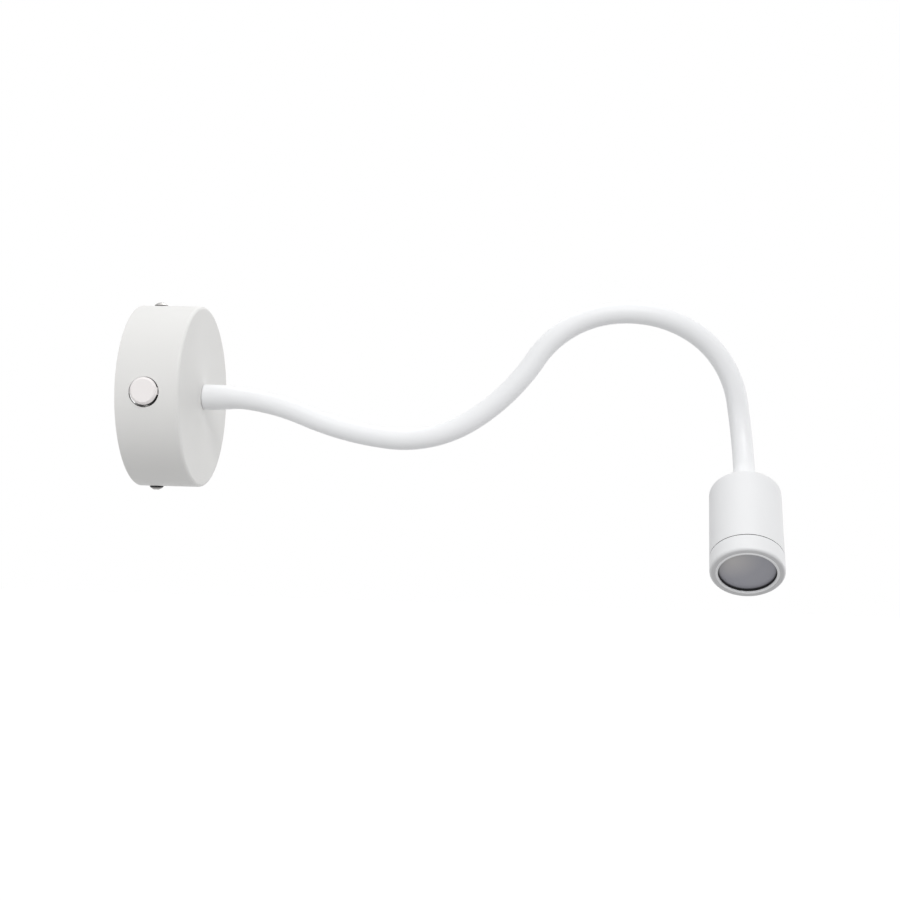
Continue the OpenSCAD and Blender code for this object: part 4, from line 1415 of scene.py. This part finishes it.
    def hose_piece(self, joint: int) -> bpy.types.Object:
        """Wound hose round a joint: its outside dips between turns, by a cosine of distance less turn.

        Args:
            joint: Number of the joint, from 1.

        Returns:
            The piece, with a closed wall.
        """
        low, high = self.cut(joint, self.hose_foot)
        run = np.linspace(low, high, int((high - low) / self.hose_pitch * self.rings_per_turn))
        wave = np.cos(math.tau * run[:, None] / self.hose_pitch - ring_angles(self.hose_sides)[None, :])
        outer = self.hose_r - 0.5 * self.hose_dip * (1.0 - wave)
        inner = np.full(len(run), self.hose_in_r)
        return self.wall(f"hose_{joint}_to_{joint + 1}", run, outer, inner, self.hose_sides)

    def lead_piece(self, joint: int, name: str, offset: float) -> bpy.types.Object:
        """One lead round a joint: a round rod beside the arm's centreline.

        Args:
            joint: Number of the joint, from 1.
            name: Name of the lead.
            offset: Distance beside the centreline.

        Returns:
            The piece.
        """
        low, high = self.cut(joint, 0.0)
        low -= self.base_lead if joint == 1 else 0.0
        high += self.head_lead if joint == self.joints else 0.0
        run = np.linspace(low, high, int((high - low) / self.lead_step))
        centre, across, over = self.along(run)
        radius = np.full(len(run), self.lead_r)
        rings = swept_rings(centre + offset * over, across, over, radius, self.lead_sides)
        uv = along_around(run, self.lead_r, self.lead_sides)
        return grid_object(f"{name}_{joint}_to_{joint + 1}", rings, Ends.CAPPED, uv)

    def build(self) -> None:
        """Builds the sleeve, hose and leads in pieces, one round each joint."""
        for joint in range(1, self.joints + 1):
            start, end = self.bend_span(joint)
            sections = (joint, joint + 1) if joint == self.joints else (joint,)
            layers = (
                (self.sleeve_piece(joint), SILICONE, "sleeve"),
                (self.hose_piece(joint), HOSE_STEEL, "hose"),
                (self.lead_piece(joint, "lead_a", -self.lead_off), RED_WIRE, "leads"),
                (self.lead_piece(joint, "lead_b", self.lead_off), RED_WIRE, "leads"),
            )
            for piece, finish, node in layers:
                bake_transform(piece)
                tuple(start)
                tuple(end)
                settle(piece, finish, *(f"{node}_{section}" for section in sections))


@dataclass
class SpotHead:
    """Cylindrical head with its front ring, lens and what is inside.

    Attributes:
        paint: Colour of the housing and the front ring.
        lens_colour: Colour of the lens.
        lens_painted_light: Colour at the middle of the painted pool of light on the lens.
        painted_light_offset: How far that painted pool of light lies up, and as far aside, from the lens's
            middle.
        finishes: Names of the other nodes that get each finish.
    """

    paint: Colour = (0.81, 0.815, 0.825)
    lens_colour: Colour = (0.345, 0.345, 0.383)
    lens_painted_light: Colour = (0.54, 0.525, 0.52)
    painted_light_offset: float = 0.0065
    finishes: dict[Finish, tuple[str, ...]] = field(default_factory=lambda: {
        RUBBER: ("lens_gasket",),
        TURNED_ALUMINIUM: ("heat_sink",),
        MIRRORED: ("reflector",),
        BOARD: ("led_board",),
        PHOSPHOR: ("led_chip",),
        NICKEL: ("board_screws", "head_nut"),
        ZINC: ("head_ferrule",),
        RED_WIRE: ("head_leads",),
    })

    def build(self, turn: Array, back: Array) -> None:
        """Dresses the head's nodes.

        Args:
            turn: Directions of the head's frame, as columns.
            back: Middle of the head's back face.
        """
        to_axis = tuple(Matrix(turn.T.tolist()).to_euler())
        coat = JointedPaint("white_head_coat", self.paint, turn=to_axis, shift=tuple(-turn.T @ back))
        low, high = (np.array(corner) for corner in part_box("lens"))
        middle, axis = (low + high) / 2, turn[:, 2]
        up = np.array([0.0, 0.0, 1.0]) - axis[2] * axis
        up /= np.linalg.norm(up)
        # middle of the painted pool of light on the lens, up and aside of its middle
        spot = middle + self.painted_light_offset * (up + np.cross(axis, up))
        lens = FrostedPlate(
            "frosted_lens", self.lens_colour, centre=tuple(spot), middle=self.lens_painted_light,
            rim_centre=tuple(middle))
        dress({coat: ("head_housing", "bezel"), lens: ("lens",), **self.finishes})


# Studio
@dataclass(frozen=True)
class SoftBox:
    """One square lamp that faces a point.

    Attributes:
        name: Name of the lamp.
        place: Where it is.
        target: What it faces.
        size: Length of its edge.
        power: Power, in watts.
    """

    name: str
    place: Point
    target: Point
    size: float
    power: float

    def build(self) -> None:
        """Adds the lamp."""
        light = bpy.data.lights.new(self.name, "AREA")
        light.shape = "SQUARE"
        light.size = self.size
        light.energy = self.power
        lamp = bpy.data.objects.new(self.name, light)
        lamp.location = self.place
        lamp.rotation_euler = (Vector(self.target) - Vector(self.place)).to_track_quat("-Z", "Y").to_euler()
        bpy.context.scene.collection.objects.link(lamp)


@dataclass
class Studio:
    """Camera at the photograph's angle, soft lamps, white surroundings and a pale floor.

    Attributes:
        eye: The camera's place.
        yaw: Turn to the left about Z, in degrees.
        pitch: Tilt upwards, in degrees.
        roll: Roll about the line of sight, in degrees.
        lens_mm: Focal length.
        frame_mm: Width of the frame that it is meant for.
        near: Distance from which the camera sees.
        ambient: Strength of the light from all round.
        floor_x: Middle of the floor along X.
        floor_z: Height of the floor.
        floor_half: Half of the floor's edge.
        glow_near: What the floor adds to its own light towards the camera under the object, to read as white.
        glow_far: The same far from the object.
        glow_reach: Distances from the floor's middle between which the glow goes from near to far.
        lamps: The lamps.
    """

    eye: Point = (0.1779, -0.5460, -0.0279)
    yaw: float = 4.27
    pitch: float = 0.72
    roll: float = -1.39
    lens_mm: float = 50.0
    frame_mm: float = 36.0
    near: float = 0.01
    ambient: float = 0.55
    floor_x: float = 0.14
    floor_z: float = -0.42
    floor_half: float = 3.0
    glow_near: float = 0.48
    glow_far: float = 0.75
    glow_reach: Pair = (0.4, 1.0)
    lamps: tuple[SoftBox, ...] = (
        SoftBox("front_box", place=(0.42, -1.05, 0.9), target=(0.15, 0.0, 0.0), size=0.6, power=7.3),
        SoftBox("left_box", place=(-0.6, -1.0, 0.0), target=(0.2, 0.0, 0.0), size=0.6, power=1.6),
        SoftBox("top_box", place=(0.15, 0.1, 1.5), target=(0.14, 0.0, 0.0), size=1.2, power=3.6),
        SoftBox("back_box", place=(0.15, 0.32, 0.5), target=(0.1, 0.0, 0.0), size=0.4, power=0.6),
        SoftBox("right_box", place=(1.35, 0.45, -0.25), target=(0.05, 0.0, 0.0), size=0.7, power=4.2),
    )

    def camera(self) -> None:
        """Adds the camera: right, up and back are the columns of yaw, pitch and roll in turn."""
        data = bpy.data.cameras.new("photo_camera")
        data.lens = self.lens_mm
        data.sensor_width = self.frame_mm
        data.clip_start = self.near
        turn = (
            Matrix.Rotation(math.radians(self.yaw), 3, "Z")
            @ Matrix.Rotation(math.radians(self.pitch), 3, "X")
            @ Matrix.Rotation(math.radians(self.roll), 3, "Y"))
        right, ahead, up = (turn.col[k] for k in range(3))
        pose = Matrix((right, up, -ahead)).transposed().to_4x4()
        pose.translation = Vector(self.eye)
        camera = bpy.data.objects.new("photo_camera", data)
        camera.matrix_world = pose
        bpy.context.scene.collection.objects.link(camera)
        bpy.context.scene.camera = camera

    @staticmethod
    def seen(nodes: Nodes) -> Socket:
        """Mask of what the camera, a reflection or a clear body sees, apart from scattered light.

        Args:
            nodes: The nodes that it is added to.

        Returns:
            The largest of the three kinds of ray.
        """
        path = nodes.add("ShaderNodeLightPath", {}).outputs
        mirrored = nodes.work(Sum.LARGER, path["Is Camera Ray"], path["Is Glossy Ray"])
        return nodes.work(Sum.LARGER, mirrored, path["Is Transmission Ray"])

    def surroundings(self) -> None:
        """White all round for what is seen, and the ambient strength for scattered light."""
        world = bpy.data.worlds.new("white_room")
        world.use_nodes = True
        nodes = Nodes(world.node_tree)
        strength = nodes.between(self.seen(nodes), self.ambient, 1.0, (0.0, 1.0))
        light = nodes.add("ShaderNodeBackground", {"Color": WHITE, "Strength": strength})
        nodes.add("ShaderNodeOutputWorld", {"Surface": light.outputs["Background"]})
        bpy.context.scene.world = world

    def floor(self) -> None:
        """Adds the pale floor, which keeps shadows and reads as white where none falls."""
        middle = (self.floor_x, 0.0, self.floor_z)
        corners = self.floor_half * np.array([(-1, -1, 0), (1, -1, 0), (1, 1, 0), (-1, 1, 0)])
        mesh = bpy.data.meshes.new("floor")
        mesh.from_pydata(corners + middle, [], [(0, 1, 2, 3)])
        floor = bpy.data.objects.new("floor", mesh)
        bpy.context.scene.collection.objects.link(floor)
        nodes = FLOOR.sketch()
        glow = nodes.between(nodes.distance(middle), self.glow_near, self.glow_far, self.glow_reach)
        nodes.give(Emission_Color=WHITE, Emission_Strength=nodes.times(self.seen(nodes), glow))
        mesh.materials.append(nodes.material)

    def build(self) -> None:
        """Sets up the whole studio."""
        self.camera()
        self.surroundings()
        self.floor()
        for lamp in self.lamps:
            lamp.build()
        bpy.context.scene.view_settings.view_transform = "Standard"


def main() -> None:
    """Builds the studio and the light's sub-assemblies."""
    logging.basicConfig(level=logging.INFO, format="%(message)s")
    Studio().build()
    Canopy().build()
    ReturnSpring().build()
    Wiring().build()
    arm = Gooseneck()
    arm.build()
    SpotHead().build(*arm.head_frame)


if __name__ == "__main__":
    main()
